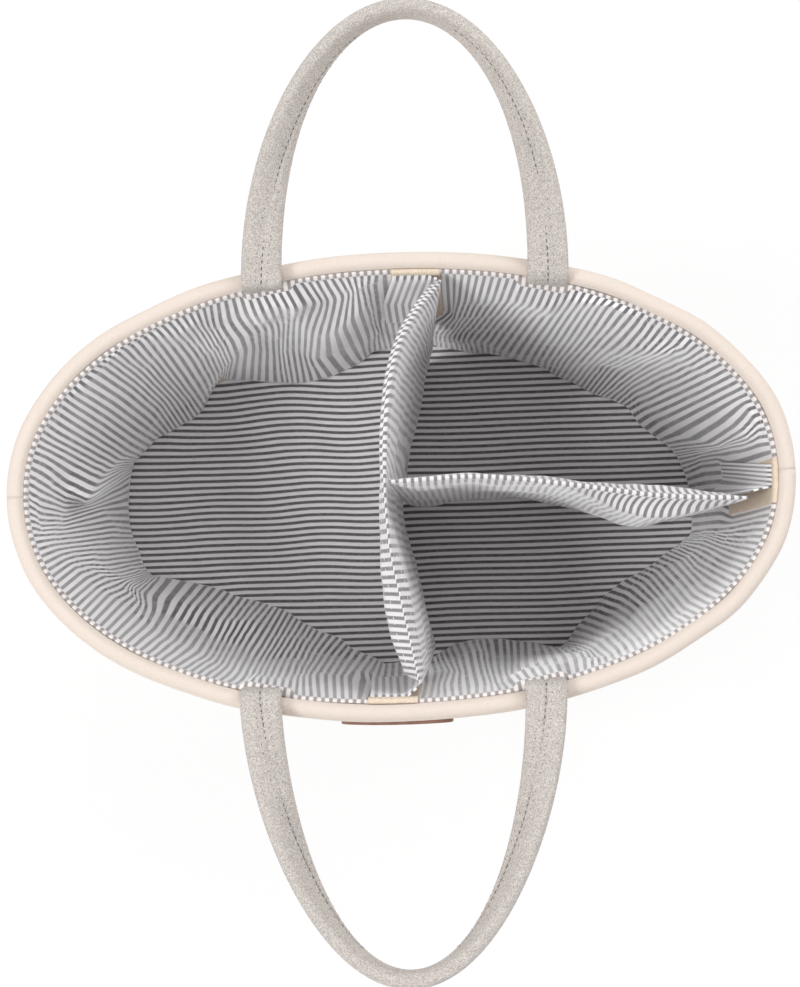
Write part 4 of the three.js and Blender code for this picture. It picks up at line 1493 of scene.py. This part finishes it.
    def long_face(self, s: Array, t: Array) -> Array:
        """The long panel's middle, from its seam on the cross panel to the right end."""
        s, t = np.broadcast_arrays(np.asarray(s, float), np.asarray(t, float))
        offset = self.half_thickness + LAYERS.gap
        seam = lifted(self.cross_face, lambda a, b: offset)(np.full(s.shape, self.junction_share), t)
        end = self.right_end(t)
        side = mix(self.sway(self.long_foot_sway_shares, s), self.sway(self.long_top_sway_shares, s), t)
        join = np.clip(s * (len(self.long_top_sway_shares) - 1), 0.0, 1.0)
        return stack(
            mix(seam[..., 0], end[..., 0], s),
            mix(seam[..., 1], side, join),
            mix(seam[..., 2], end[..., 2], s),
        )

    def length_of(self, face: Surface) -> float:
        """How long a panel's top edge is."""
        steps = 400
        return float(walked_along(face(np.linspace(0, 1, steps), np.full(steps, 1.0)))[-1])

    def skin(self, plan: PanelPlan, side: Any, s: Array, up: Array) -> Array:
        """The outside of a padded panel, full below its top edge and thin at its other edges.

        Args:
            plan: The panel's plan.
            side: 1 for the side that the face's normal points to, -1 for the other, or what lies between.
            s: Shares along the panel.
            up: Shares of its height.

        Returns:
            The points as rows.
        """
        length, height = self.length_of(plan.face), self.top - self.foot
        s, up = np.broadcast_arrays(np.asarray(s, float), np.asarray(up, float))
        to_end, from_top = np.minimum(s, 1 - s) * length, (1 - up) * height
        full = ease(np.minimum(to_end, up * height), -0.15 * self.edge_fade, self.edge_fade)
        thick = self.half_thickness + plan.swell(s, side) * np.minimum(1.0, 2 * up)
        thick = mix(self.edge_half_thickness, thick, full)
        rolled = plan.rolled(s)
        groove = rolled * plan.roll * self.groove_drop
        body = mix(self.edge_half_thickness, thick, ease(from_top - groove, 0.0, self.edge_fade))
        radius = plan.roll * self.roll_radius
        roll = np.sqrt(np.maximum(1 - (from_top / radius - 1) ** 2, 0.0))
        roll = roll * radius * mix(0.45, 1.0, ease(to_end, 0.0, self.edge_fade)) * mix(0.55, 1.0, rolled)
        creases = 0.8 * ripple(s * length, up * height, 60 * MM, plan.seed)
        creases = creases + 0.3 * ripple(s * length, up * height * 0.6, 21 * MM, plan.seed + 3)
        offset = side * np.maximum(body, roll) + creases * MM * full * ease(from_top, 0.0, self.edge_fade)
        return plan.face(s, up) + normal_of(plan.face, s, up) * offset[..., None]

    def panel(self, plan: PanelPlan) -> None:
        """Makes a padded panel, a closed bag of ticking over foam, and the rows sewn along its top."""
        name, edge = plan.name, self.seam_share
        length, height = self.length_of(plan.face), self.top - self.foot

        def climb(t: Array) -> tuple[Array, Array, Array]:
            """Up one side and down the other: the run from foot to top, its height share and the side."""
            run = 1 - np.abs(2 * t - 1)
            side = np.minimum(np.minimum(run, 1 - run) / edge, 1.0)
            return run, 1 - (1 - run) ** 1.5, side * np.sign(0.5 - t)

        def place(s: Array, t: Array) -> Array:
            """The bag's outside."""
            _, up, side = climb(t)
            return self.skin(plan, side, s, up)

        def cloth(s: Array, t: Array) -> Array:
            """The flat covers, their stripes out of step at the top's seam and at the foot's."""
            run, up, side = climb(t)
            over = np.clip((1 - run) / (2 * edge), 0.0, 1.0) * np.sign(t - 0.5)
            shift = plan.slant(s) * over / 2 + plan.step * (t > 0.5) + 0.5 * (run < 1.5 * edge)
            drop = (1 - up) * height
            across = np.sign(side) * ease(drop, 0.0, self.edge_fade)
            across = across * (self.half_thickness + plan.swell(s, side))
            along = s * length - plan.skew(s, side) * drop + plan.shear(s, side) * across
            return stack(along + shift * TickingFinish.repeat, np.sign(side) * up * height)

        bag = add_grid(name, 230, 160, place, cloth, closed=True)
        # The covers take the copy of the ticking that is painted darker as shade.
        dress(bag, self.finishes.cover_ticking, "divider")
        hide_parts(f"{name}_cover_left", f"{name}_cover_right", f"{name}_foam")
        level = 1 - (plan.roll * self.groove_drop + self.stitch_drop) / height
        for label, side in (("left", -1), ("right", 1)):
            row = self.stitcher.along(
                f"{name}_stitches_{label}",
                partial(self.skin, plan, side),
                lambda share: (mix(0.02, 0.98, share), np.full_like(share, level)),
                self.stitch_pitch,
                self.finishes.threads[Thread.WHITE],
                width=self.thread_width,
            )
            sewn(row, "divider")

    def cross_plan(self) -> PanelPlan:
        """The cross panel: a full, flat top in front of the long panel's seam, and a rolled edge behind it."""
        seam = self.junction_share
        leans = ((seam - 0.01, 0.0), (seam, -0.12), *self.right_leans)

        def swell(s: Array, side: Array) -> Array:
            """Fuller on the left towards the front wall, and sunk on the right before the seam."""
            left = np.clip(-side, 0.0, 1.0) * self.left_swell * stepped(s, self.left_swell_places)
            right = np.clip(side, 0.0, 1.0) * self.right_sink * ease(s, 0.1, 0.2) * (1 - ease(s, 0.42, 0.55))
            return self.cross_swell(s) + left - right

        return PanelPlan(
            "cross_panel",
            self.cross_face,
            swell,
            rolled=lambda s: ease(s, seam - 0.04, seam + 0.08),
            slant=lambda s: ease(s, seam + 0.06, seam + 0.2),
            skew=lambda s, side: (side > 0) * stepped(s, leans),
            shear=lambda s, side: 0.24 * (1 - ease(s, 0.15, 0.42)),
            roll=1.0, step=0.5, seed=1.0,
        )

    def long_plan(self) -> PanelPlan:
        """The long panel: a small rolled edge all along, and full towards the right end."""

        def swell(s: Array, side: Array) -> Array:
            """One round swell over the right half, a third as full on the back as on the front."""
            bulge = self.end_swell * np.sin(math.pi * np.clip((s - 0.5) / 0.5, 0.0, 1.0)) ** 2
            return bulge * np.clip(side, 0.35, 1.0)

        return PanelPlan(
            "long_panel",
            self.long_face,
            swell,
            rolled=lambda s: np.ones(np.shape(s)),
            slant=lambda s: 0.0,
            skew=lambda s, side: 0.02 + 0.03 * ease(s, 0.5, 0.75),
            shear=lambda s, side: (0.15 + 0.4 * ease(s, 0.45, 0.7)) * np.sign(side),
            roll=0.65, step=0.0, seed=5.0,
        )

    def fastenings(self) -> tuple[Fastening, ...]:
        """The fastenings at the back, at the front and at the right end."""
        end_y = self.long_sway * self.long_top_sway_shares[-1]
        return (
            Fastening(
                "back", self.back_end, 1, lambda reach: WALL.angle_at_x(self.back_top_x - reach, Side.BACK),
                press=8 * MM, free=25.3 * MM, lean=8 * MM, lean_drop=0.6, patch_middle=13.3 * MM,
            ),
            Fastening(
                "front", self.front_end, -1, lambda reach: WALL.angle_at_x(self.front_top_x - reach, Side.FRONT),
                press=8 * MM, free=26 * MM, lean=4 * MM, lean_drop=1.0, patch_middle=14 * MM,
            ),
            Fastening(
                "end", self.right_end, 1, lambda reach: WALL.angle_at_y(end_y + reach),
                press=4.8 * MM, free=16.4 * MM, lean=12 * MM, lean_drop=1.0, patch_middle=7.3 * MM,
            ),
        )

    def tab_face(self, tab: Fastening, s: Array, t: Array) -> Array:
        """A tab's face: it crosses from the panel's end to the wall and then lies along it, up to the hem."""
        tab_foot = self.top - self.tape_length
        foot_share = (tab_foot - self.foot) / (self.top - self.foot)
        lean = tab.lean * np.minimum(1.0, (1 - t) / tab.lean_drop)
        along = np.clip((s - self.press_share) / (1 - self.press_share), -0.2, 1.2)
        height = mix(tab_foot, self.top + self.tab_rise * np.clip(s, 0.0, 1.0), t)
        drop = ease(height, self.top - self.tab_settle_drop, self.top + self.tab_rise)
        depth = LAYERS.tab_depth - self.tab_settle * drop
        lying = WALL.point(tab.at(mix(tab.press, tab.free, along) + lean), height, depth)
        landing = WALL.point(tab.at(tab.press + lean), height, depth)
        start = tab.fold(mix(foot_share, 1.0, t))
        cross = mix(self.root_share, 1.0, s / self.press_share)
        crossing = mix(start, landing, cross[..., None])
        settle = ease(s, self.press_share * 0.55, self.press_share * 1.45)[..., None]
        return mix(crossing, lying, settle)

    def patch_face(self, tab: Fastening, s: Array, t: Array) -> Array:
        """A tape on the wall, over the lining and turned over its hem."""
        foot, top = self.top - self.tape_length, LAYERS.hem_top + self.patch_over_hem
        reach = tab.patch_middle + (s - 0.5) * self.patch_width
        height = foot + (top - foot) * np.minimum(1.0, t * 1.01)
        return WALL.point(tab.at(reach), height, LAYERS.patch_depth + stepped(t, self.patch_profile) * MM)

    def bend(self, piece: Piece, face: Surface, body: str) -> None:
        """Bakes a tab's piece into place and logs it; the points of its fold are worked out but not used."""
        low, high, pressed = face(np.array([0.0, 0.0, self.press_share]), np.array([0.0, 1.0, 0.5]))
        middle, along = (low + high) / 2, unit(high - low)
        away = pressed - middle
        away = away - along * (away @ along)
        tuple((middle + away).tolist())
        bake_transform(piece)
        report(piece)

    def box_row(self, name: str, face: Surface, low: float, size: tuple[float, float], thread: Material) -> Piece:
        """Sews a box of stitches a margin in from a face's edges.

        Args:
            name: The row's name.
            face: The surface.
            low: The share of its width at which the box starts.
            size: Its width and its height in metres.
            thread: The thread's material.

        Returns:
            The row as one mesh object.
        """
        side, end = self.stitch_margin / size[0], self.stitch_margin / size[1]
        corners = np.array([(low, end), (1 - side, end), (1 - side, 1 - end), (low, 1 - end)])
        walk = ring_path((corners * size).tolist())
        path: Path = lambda share: tuple((walk(share) / size).T)
        return self.stitcher.along(name, face, path, self.stitch_pitch, thread, width=self.thread_width)

    def make_tab(self, tab: Fastening, face: Surface) -> None:
        """Makes one folded tab, striped up its height."""
        name, tab_length = tab.name, self.tape_length + self.tab_rise
        cloth = add_grid(f"tab_{name}_cloth", 48, 90, face, flat_strip(self.tab_width, tab_length))
        thicken(cloth, self.tab_thickness, offset=float(tab.side))
        cloth.data.materials.clear()
        cloth.data.materials.append(self.finishes.ticking)
        self.bend(cloth, face, f"{name}_tab")
        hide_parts(f"tab_{name}")

    def make_hook(self, tab: Fastening, face: Surface) -> None:
        """Makes the hook tape behind one tab."""
        name, side_margin = tab.name, self.tape_margin / self.tab_width
        end_margin = self.tape_margin / self.tape_length

        def hook_face(s: Array, t: Array) -> Array:
            """The hook tape's back, on the tab's side towards the wall."""
            along = mix(self.press_share + side_margin, 1 - side_margin, s)
            up = mix(end_margin, 1 - 2 * end_margin, t)
            offset = tab.side * (self.tab_thickness + self.tape_gap)
            return face(along, up) + normal_of(face, along, up) * offset

        hook = add_grid(f"hook_{name}", 24, 60, hook_face)
        thicken(hook, self.tape_thickness, offset=float(tab.side))
        dress(hook, self.finishes.hooks, f"{name}_tab")
        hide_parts(f"hook_tape_{name}")

    def make_loop(self, tab: Fastening, face: Surface) -> None:
        """Makes the loop patch that one tab is pressed on."""
        loop = add_grid(f"loop_{tab.name}", 24, 140, face)
        thicken(loop, self.tape_thickness, offset=1.0)
        dress(loop, self.finishes.loops, "tote")
        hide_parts(f"loop_patch_{tab.name}")

    def fasten(self, tab: Fastening) -> None:
        """Makes one tab with its hook tape, the loop patch on the wall and the stitches of both."""
        face, patch, name = partial(self.tab_face, tab), partial(self.patch_face, tab), tab.name
        self.make_tab(tab, face)
        self.make_hook(tab, face)
        self.make_loop(tab, patch)
        tab_size = (self.tab_width, self.tape_length + self.tab_rise)
        white, beige = (self.finishes.threads[thread] for thread in (Thread.WHITE, Thread.BEIGE))
        box = self.box_row(f"tab_{name}_stitches", face, self.press_share, tab_size, white)
        self.bend(box, face, f"{name}_tab")
        front = lifted(patch, lambda s, t: self.tape_thickness)
        patch_size = (self.patch_width, self.tape_length)
        margin = self.stitch_margin / self.patch_width
        row = self.box_row(f"loop_{name}_stitches", front, margin, patch_size, beige)
        sewn(row, "tote")

    def build(self) -> None:
        """Makes the panels, the tabs and the tapes."""
        for plan in (self.cross_plan(), self.long_plan()):
            self.panel(plan)
        for fastening in self.fastenings():
            self.fasten(fastening)


@dataclass(frozen=True)
class StrapRun:
    """A strap from one tucked end to the other: its middle line and what it is like along it.

    Walked is how far along each point lies, the wide and the thick directions are those of its section, the hem
    share says how closely it follows the hem, the drift where its seam lies from side to side, and the crown
    where its seam is closed.
    """

    walked: Array
    points: Array
    wide: Array
    thick: Array
    width: Array
    thickness: Array
    hem_share: Array
    drift: Array
    crown: Array

    def at(self, values: Array, s: Array) -> Array:
        """Some of its values at shares of its length."""
        spot = s * self.walked[-1]
        if values.ndim == 1:
            return np.interp(spot, self.walked, values)
        return stack(*(np.interp(spot, self.walked, column) for column in values.T))


@dataclass
class Handle:
    """One strap: a felt strip folded to its middle and zigzag-sewn, its ends tucked under the hem."""

    finishes: Finishes
    stitcher: Stitcher
    side: Side
    loop_power: float
    reach: float
    shift: float
    skew: float
    leg_half_spacing: float
    hinge_y: float
    seam_drift_shares: tuple[float, float] = (-1.0, -1.0)
    rest_angle: float = 15.0
    hinge_height: float = 181.55 * MM
    root_width: float = 21 * MM
    root_thickness: float = 6.5 * MM
    grip_width: float = 17.4 * MM
    grip_thickness: float = 8.5 * MM
    twist: float = 82.0
    tuck_length: float = 26 * MM
    tuck_thickness: float = 3.2 * MM
    bend_lead: float = 3 * MM
    side_power: float = 0.55
    top_power: float = 0.75
    edge_drop: float = 0.21 * MM
    seam_place: float = 0.42
    seam_legs: tuple[tuple[str, float, float], ...] = (("left", 0.072, 0.43), ("right", 0.57, 0.928))
    groove_half_width: float = 1 * MM
    groove_depth: float = 0.8 * MM
    bridge_lift: float = 0.65 * MM
    seam_pitch: float = 3.4 * MM
    zigzag_pitch: float = 2.4 * MM
    hole_pitch: float = 4.6 * MM
    hole_distance: float = 2.9 * MM

    def loop_point(self, turn: Array) -> Array:
        """The loop's middle line in its own plane: along X and out from the hinge."""
        x = -self.leg_half_spacing * np.cos(turn)
        grip = np.maximum(np.sin(turn), 0.0) ** (2 / self.loop_power)
        return stack(x + self.skew * grip, self.reach * grip)

    def tucked_end(self, root: Array, outward: Array, upward: Array) -> tuple[Array, Array]:
        """One end of the middle line, which bends over the rim and goes straight down behind the hem.

        Args:
            root: Where the loop's leg ends.
            outward: The direction in the loop's plane away from the caddy.
            upward: The direction square to that plane.

        Returns:
            The points and the strap's thick direction, from the root on.
        """
        rim_angle = WALL.angle_at_x(root[0], self.side)
        tucked_y = float(WALL.point(rim_angle, LAYERS.hem_top, LAYERS.anchor_depth + self.tuck_thickness / 2)[1])
        bend = math.pi / 2 - math.radians(self.rest_angle)
        radius = abs(root[1] - tucked_y) / (1 - math.cos(bend))
        angle = np.linspace(0.0, bend, 13)[1:, None]
        turned_up = upward * np.cos(angle) - outward * np.sin(angle)
        over = root - upward * radius + turned_up * radius
        drop = np.linspace(0.0, self.tuck_length, 12)[1:, None] * np.array([0.0, 0.0, -1.0])
        thick = np.concatenate([turned_up, np.repeat(turned_up[-1:], len(drop), axis=0)])
        return np.concatenate([over, over[-1] + drop]), thick

    def middle_line(self) -> tuple[Array, Array, Array, Array]:
        """The strap's whole middle line, from one tucked end to the other.

        Returns:
            The points, the strap's wide direction, its thick direction and the grip share.
        """
        lean = math.radians(self.rest_angle)
        outward = np.array([0.0, self.side.value * math.cos(lean), math.sin(lean)])
        upward = np.array([0.0, -self.side.value * math.sin(lean), math.cos(lean)])
        across = np.array([1.0, 0.0, 0.0])
        origin = np.array([self.shift, self.side.value * self.hinge_y, self.hinge_height])
        turns = np.linspace(0.0, math.pi, 241)
        near = 1e-3
        flat = self.loop_point(turns)
        inside = np.clip(turns, near, math.pi - near)
        heading = unit(self.loop_point(inside + near) - self.loop_point(inside - near))
        grip = flat[:, 1] / self.reach
        points = origin + flat[:, :1] * across + flat[:, 1:] * outward
        in_plane = -heading[:, 1:] * across + heading[:, :1] * outward
        twist = np.radians(self.twist) * grip[:, None]
        wide = in_plane * np.cos(twist) + upward * np.sin(twist)
        thick = -in_plane * np.sin(twist) + upward * np.cos(twist)
        lead = self.bend_lead
        leg_start = origin + outward * lead
        keep = flat[:, 1] > lead
        points, wide, thick, grip = points[keep], wide[keep], thick[keep], grip[keep]
        (left, left_thick), (right, right_thick) = (
            self.tucked_end(leg_start + across * hand * self.leg_half_spacing, outward, upward) for hand in (-1, 1)
        )
        points = np.concatenate([left[::-1], points, right])
        before, after = np.repeat(wide[:1], len(left), axis=0), np.repeat(wide[-1:], len(right), axis=0)
        wide = np.concatenate([before, wide, after])
        thick = np.concatenate([left_thick[::-1], thick, right_thick])
        grip = np.concatenate([np.full(len(left), -1.0), grip, np.full(len(right), -1.0)])
        return points, wide, thick, grip

    def hem_y(self, x: Array) -> Array:
        """How far from the middle the hem runs at an X, so that a tucked end follows it."""
        return WALL.point(WALL.angle_at_x(x, self.side), LAYERS.hem_top, LAYERS.anchor_depth)[..., 1]

    def run(self) -> StrapRun:
        """Measures the strap along its middle line."""
        points, wide, thick, grip = self.middle_line()
        walked = walked_along(points)
        total = walked[-1]
        held, tucked = np.clip(grip, 0.0, 1.0), grip < 0
        thickness = np.where(tucked, self.tuck_thickness, mix(self.root_thickness, self.grip_thickness, held))
        steps = 15
        thickness = np.convolve(np.pad(thickness, steps // 2, mode="edge"), np.ones(steps) / steps, mode="valid")
        under = np.minimum(np.minimum(walked, total - walked) / self.tuck_length, 1.0)
        leg_share = np.clip(held / 0.8, 0.0, 1.0) ** 1.5
        return StrapRun(
            walked, points, wide, thick,
            width=mix(self.root_width, self.grip_width, held),
            thickness=thickness,
            hem_share=np.where(tucked, 1 - 0.9 * under**6, 0.0),
            drift=mix(*self.seam_drift_shares, ease(walked / total, 0.47, 0.53)) * leg_share,
            crown=1 - ease(np.abs(walked / total - 0.5), 0.04, 0.1),
        )

    def face(self, run: StrapRun, s: Array, t: Array) -> Array:
        """The strap's outside: a flat section with round edges and a groove at the seam."""
        turn = t * 2 * math.pi
        half, deep = run.at(run.width, s) / 2, run.at(run.thickness, s) / 2
        x = signed_power(np.cos(turn), self.side_power)
        y = signed_power(np.sin(turn), self.top_power)
        seam = run.at(run.drift, s) * self.seam_place
        groove = np.exp(-(((x - seam) * half) / self.groove_half_width) ** 2) * (1 - run.at(run.crown, s))
        lift = y * deep - (y > 0) * (groove * self.groove_depth + self.edge_drop * x**4)
        middle = run.at(run.points, s)
        spot = middle + run.at(run.wide, s) * (x * half)[:, None] + run.at(run.thick, s) * lift[:, None]
        spot[:, 1] += run.at(run.hem_share, s) * (self.hem_y(spot[:, 0]) - self.hem_y(middle[:, 0]))
        return spot

    def beside(self, run: StrapRun, start: float, end: float, distance: float, share: Array) -> tuple[Array, Array]:
        """A path along one leg's seam.

        Args:
            run: The strap's run.
            start: The share of the strap's length at which the path starts.
            end: The share at which it ends.
            distance: How far it lies from the seam.
            share: Places on the path.

        Returns:
            The surface's two shares at those places.
        """
        s = mix(start, end, share)
        x = run.at(run.drift, s) * self.seam_place + distance / (run.at(run.width, s) / 2)
        turn = np.arccos(signed_power(np.clip(x, -0.98, 0.98), 1 / self.side_power))
        return s, turn / (2 * math.pi)

    def seam_rows(self, run: StrapRun, face: Surface) -> list[Piece]:
        """Sews each leg's seam: its thread, the zigzag that bridges it and the zigzag's holes."""
        label, sew = self.side.label, self.stitcher.along
        dark, pale = (self.finishes.threads[thread] for thread in (Thread.GREY, Thread.PALE))
        bridged = lifted(face, lambda s, t: self.bridge_lift)
        rows = []
        for leg, start, end in self.seam_legs:
            middle = partial(self.beside, run, start, end, 0.0)
            rows.append(
                sew(f"seam_{label}_{leg}", face, middle, self.seam_pitch, dark, width=0.9 * MM, fill_share=0.75)
            )
            rows.append(sew(
                f"zigzag_{label}_{leg}", bridged, middle, self.zigzag_pitch, pale,
                width=0.4 * MM, fill_share=1.3, slant=1.05,
            ))
            for edge, distance in (("low", -self.hole_distance), ("high", self.hole_distance)):
                line = partial(self.beside, run, start, end, distance)
                rows.append(
                    sew(f"holes_{label}_{leg}_{edge}", face, line, self.hole_pitch, dark, 0.5 * MM, fill_share=0.16)
                )
        return rows

    def build(self) -> None:
        """Makes the strap, bent over the rim at both ends, with the rows of its seam."""
        label, out, run = self.side.label, self.side.value, self.run()
        face = partial(self.face, run)
        strap = add_grid(f"strap_{label}", 420, 132, face, closed=True)
        strap.data.materials.append(self.finishes.grey)
        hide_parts(f"handle_{label}", f"strap_end_{label}_left", f"strap_end_{label}_right")
        for piece in (strap, *self.seam_rows(run, face)):
            out * (self.hinge_y - 1 * MM)
            out * (self.hinge_y + 9 * MM)
            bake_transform(piece)
            report(piece)


@dataclass
class Label:
    """A bare leather label sewn to the front wall under the rim."""

    finishes: Finishes
    stitcher: Stitcher
    middle: float = -4.5 * MM
    width: float = 57 * MM
    height: float = 34 * MM
    thickness: float = 2 * MM
    corner_radius: float = 4 * MM
    below_crown: float = 11 * MM
    stitch_margin: float = 2.6 * MM
    stitch_pitch: float = 2.8 * MM

    def face(self, s: Array, t: Array) -> Array:
        """The wall's surface under the label, its corners rounded off."""
        x = self.middle + (s - 0.5) * self.width
        from_end = np.minimum(s, 1 - s) * self.width
        short = self.corner_radius - np.minimum(from_end, self.corner_radius)
        cut = self.corner_radius - np.sqrt(np.maximum(self.corner_radius**2 - short**2, 0.0))
        top = WALL.height - self.below_crown - cut
        foot = WALL.height - self.below_crown - self.height + cut
        return WALL.point(WALL.angle_at_x(x, Side.FRONT), mix(foot, top, t), -LAYERS.gap)

    def build(self) -> None:
        """Makes the label and the box of stitches that holds it."""
        leather = add_grid("label", 80, 40, self.face)
        thicken(leather, self.thickness, offset=1.0)
        finish_with(leather, "BEVEL", width=0.5 * MM, segments=3, limit_method="ANGLE")
        dress(leather, self.finishes.leather, "tote")
        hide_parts("leather_label")
        size = np.array([self.width, self.height])
        low = self.stitch_margin / size
        walk = ring_path([(low[0], low[1]), (1 - low[0], low[1]), (1 - low[0], 1 - low[1]), (low[0], 1 - low[1])])
        row = self.stitcher.along(
            "label_stitches",
            lifted(self.face, lambda s, t: self.thickness),
            lambda share: tuple(walk(share).T),
            self.stitch_pitch,
            self.finishes.threads[Thread.BROWN],
        )
        sewn(row, "tote")


@dataclass(frozen=True)
class Lamp:
    """One soft square lamp: its name, its place and size in metres, and its power in watts."""

    name: str
    place: tuple[float, float, float]
    size: float
    power: float


@dataclass
class Studio:
    """A pale floor, soft lamps and the camera that looks down into the caddy."""

    camera_place: tuple[float, float, float] = (30.9 * MM, -67.4 * MM, 975.6 * MM)
    pitch: float = 4.46
    yaw: float = 2.12
    roll: float = -2.09
    lens: float = 57.4
    sensor: float = 36.0
    floor_size: float = 6.0
    floor_tone: float = 0.93
    floor_white_share: float = 0.8
    world_level: float = 0.5
    aim: tuple[float, float, float] = (0.0, 0.0, 0.1)
    lamps: tuple[Lamp, ...] = (
        Lamp("key", (-1.3, -0.3, 1.6), 0.7, 17.0),
        Lamp("fill", (1.3, 0.8, 1.3), 1.2, 14.0),
        Lamp("back", (0.1, 1.5, 1.3), 1.2, 9.0),
        Lamp("front", (-0.2, -1.6, 1.2), 1.2, 8.0),
    )

    def camera(self) -> None:
        """Sets the camera; its picture is 800 by 987 pixels, so the sensor's size counts upright."""
        data = bpy.data.cameras.new("camera")
        data.sensor_fit = "VERTICAL"
        data.sensor_height = self.sensor
        data.lens = self.lens
        data.clip_start = 0.01
        data.clip_end = 20.0
        camera = bpy.data.objects.new("camera", data)
        camera.rotation_mode = "ZYX"
        camera.rotation_euler = tuple(math.radians(a) for a in (self.pitch, self.yaw, self.roll))
        camera.location = self.camera_place
        bpy.context.scene.collection.objects.link(camera)
        bpy.context.scene.camera = camera

    def floor(self) -> None:
        """A pale floor that shows as white and keeps a soft shadow."""
        bpy.ops.object.select_all(action="DESELECT")
        bpy.ops.mesh.primitive_plane_add(size=self.floor_size, location=(0.0, 0.0, -0.4 * MM))
        floor = bpy.context.object
        floor.name = "floor"
        kit = NodeKit.material("floor")
        seen = kit.math("MAXIMUM", kit.rays("Camera"), kit.rays("Glossy"))
        seen = kit.math("MAXIMUM", seen, kit.rays("Transmission"))
        paper = kit.add("ShaderNodeBsdfDiffuse", {}, {"Color": (*[self.floor_tone] * 3, 1.0)})
        white = kit.add("ShaderNodeEmission", {}, {"Color": WHITE, "Strength": 1.0})
        both = {0: seen * self.floor_white_share, 1: Shade(kit, paper.outputs[0]), 2: Shade(kit, white.outputs[0])}
        floor.data.materials.append(kit.end(kit.add("ShaderNodeMixShader", {}, both)))

    def world(self) -> None:
        """Even light from all round, white where the camera sees past the floor."""
        world = bpy.data.worlds.new("studio")
        bpy.context.scene.world = world
        kit = NodeKit(world)
        levels = {"Value": kit.rays("Camera"), "To Min": self.world_level, "To Max": 1.0}
        level = Shade(kit, kit.add("ShaderNodeMapRange", {}, levels).outputs[0])
        kit.end(kit.add("ShaderNodeBackground", {}, {"Color": WHITE, "Strength": level}), "ShaderNodeOutputWorld")

    def hang(self, lamp: Lamp) -> None:
        """Hangs a lamp, aimed at the caddy."""
        data = bpy.data.lights.new(lamp.name, "AREA")
        data.size = lamp.size
        data.energy = lamp.power
        hung = bpy.data.objects.new(lamp.name, data)
        hung.location = lamp.place
        hung.rotation_euler = (Vector(self.aim) - Vector(lamp.place)).to_track_quat("-Z", "Y").to_euler()
        bpy.context.scene.collection.objects.link(hung)

    def build(self) -> None:
        """Sets up the camera, the floor and the light."""
        bpy.context.scene.view_settings.view_transform = "Standard"
        self.camera()
        self.floor()
        self.world()
        for lamp in self.lamps:
            self.hang(lamp)


def main() -> None:
    """Builds the caddy and the studio round it."""
    logging.basicConfig(level=logging.INFO, format="%(name)s %(message)s")
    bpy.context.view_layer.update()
    Studio().build()
    finishes = Finishes()
    stitcher = Stitcher()
    Shell(finishes).build()
    Lining(finishes).build()
    Divider(finishes, stitcher).build()
    Handle(
        finishes, stitcher, Side.BACK, loop_power=2.04, reach=135 * MM, shift=7.2 * MM, skew=4.5 * MM,
        leg_half_spacing=73.4 * MM, hinge_y=102.3173 * MM, seam_drift_shares=(-1.0, 1.0),
    ).build()
    Handle(
        finishes, stitcher, Side.FRONT, loop_power=1.67, reach=140.5 * MM, shift=-0.5 * MM, skew=1.2 * MM,
        leg_half_spacing=71.8 * MM, hinge_y=102.7131 * MM,
    ).build()
    Label(finishes, stitcher).build()


if __name__ == "__main__":
    main()
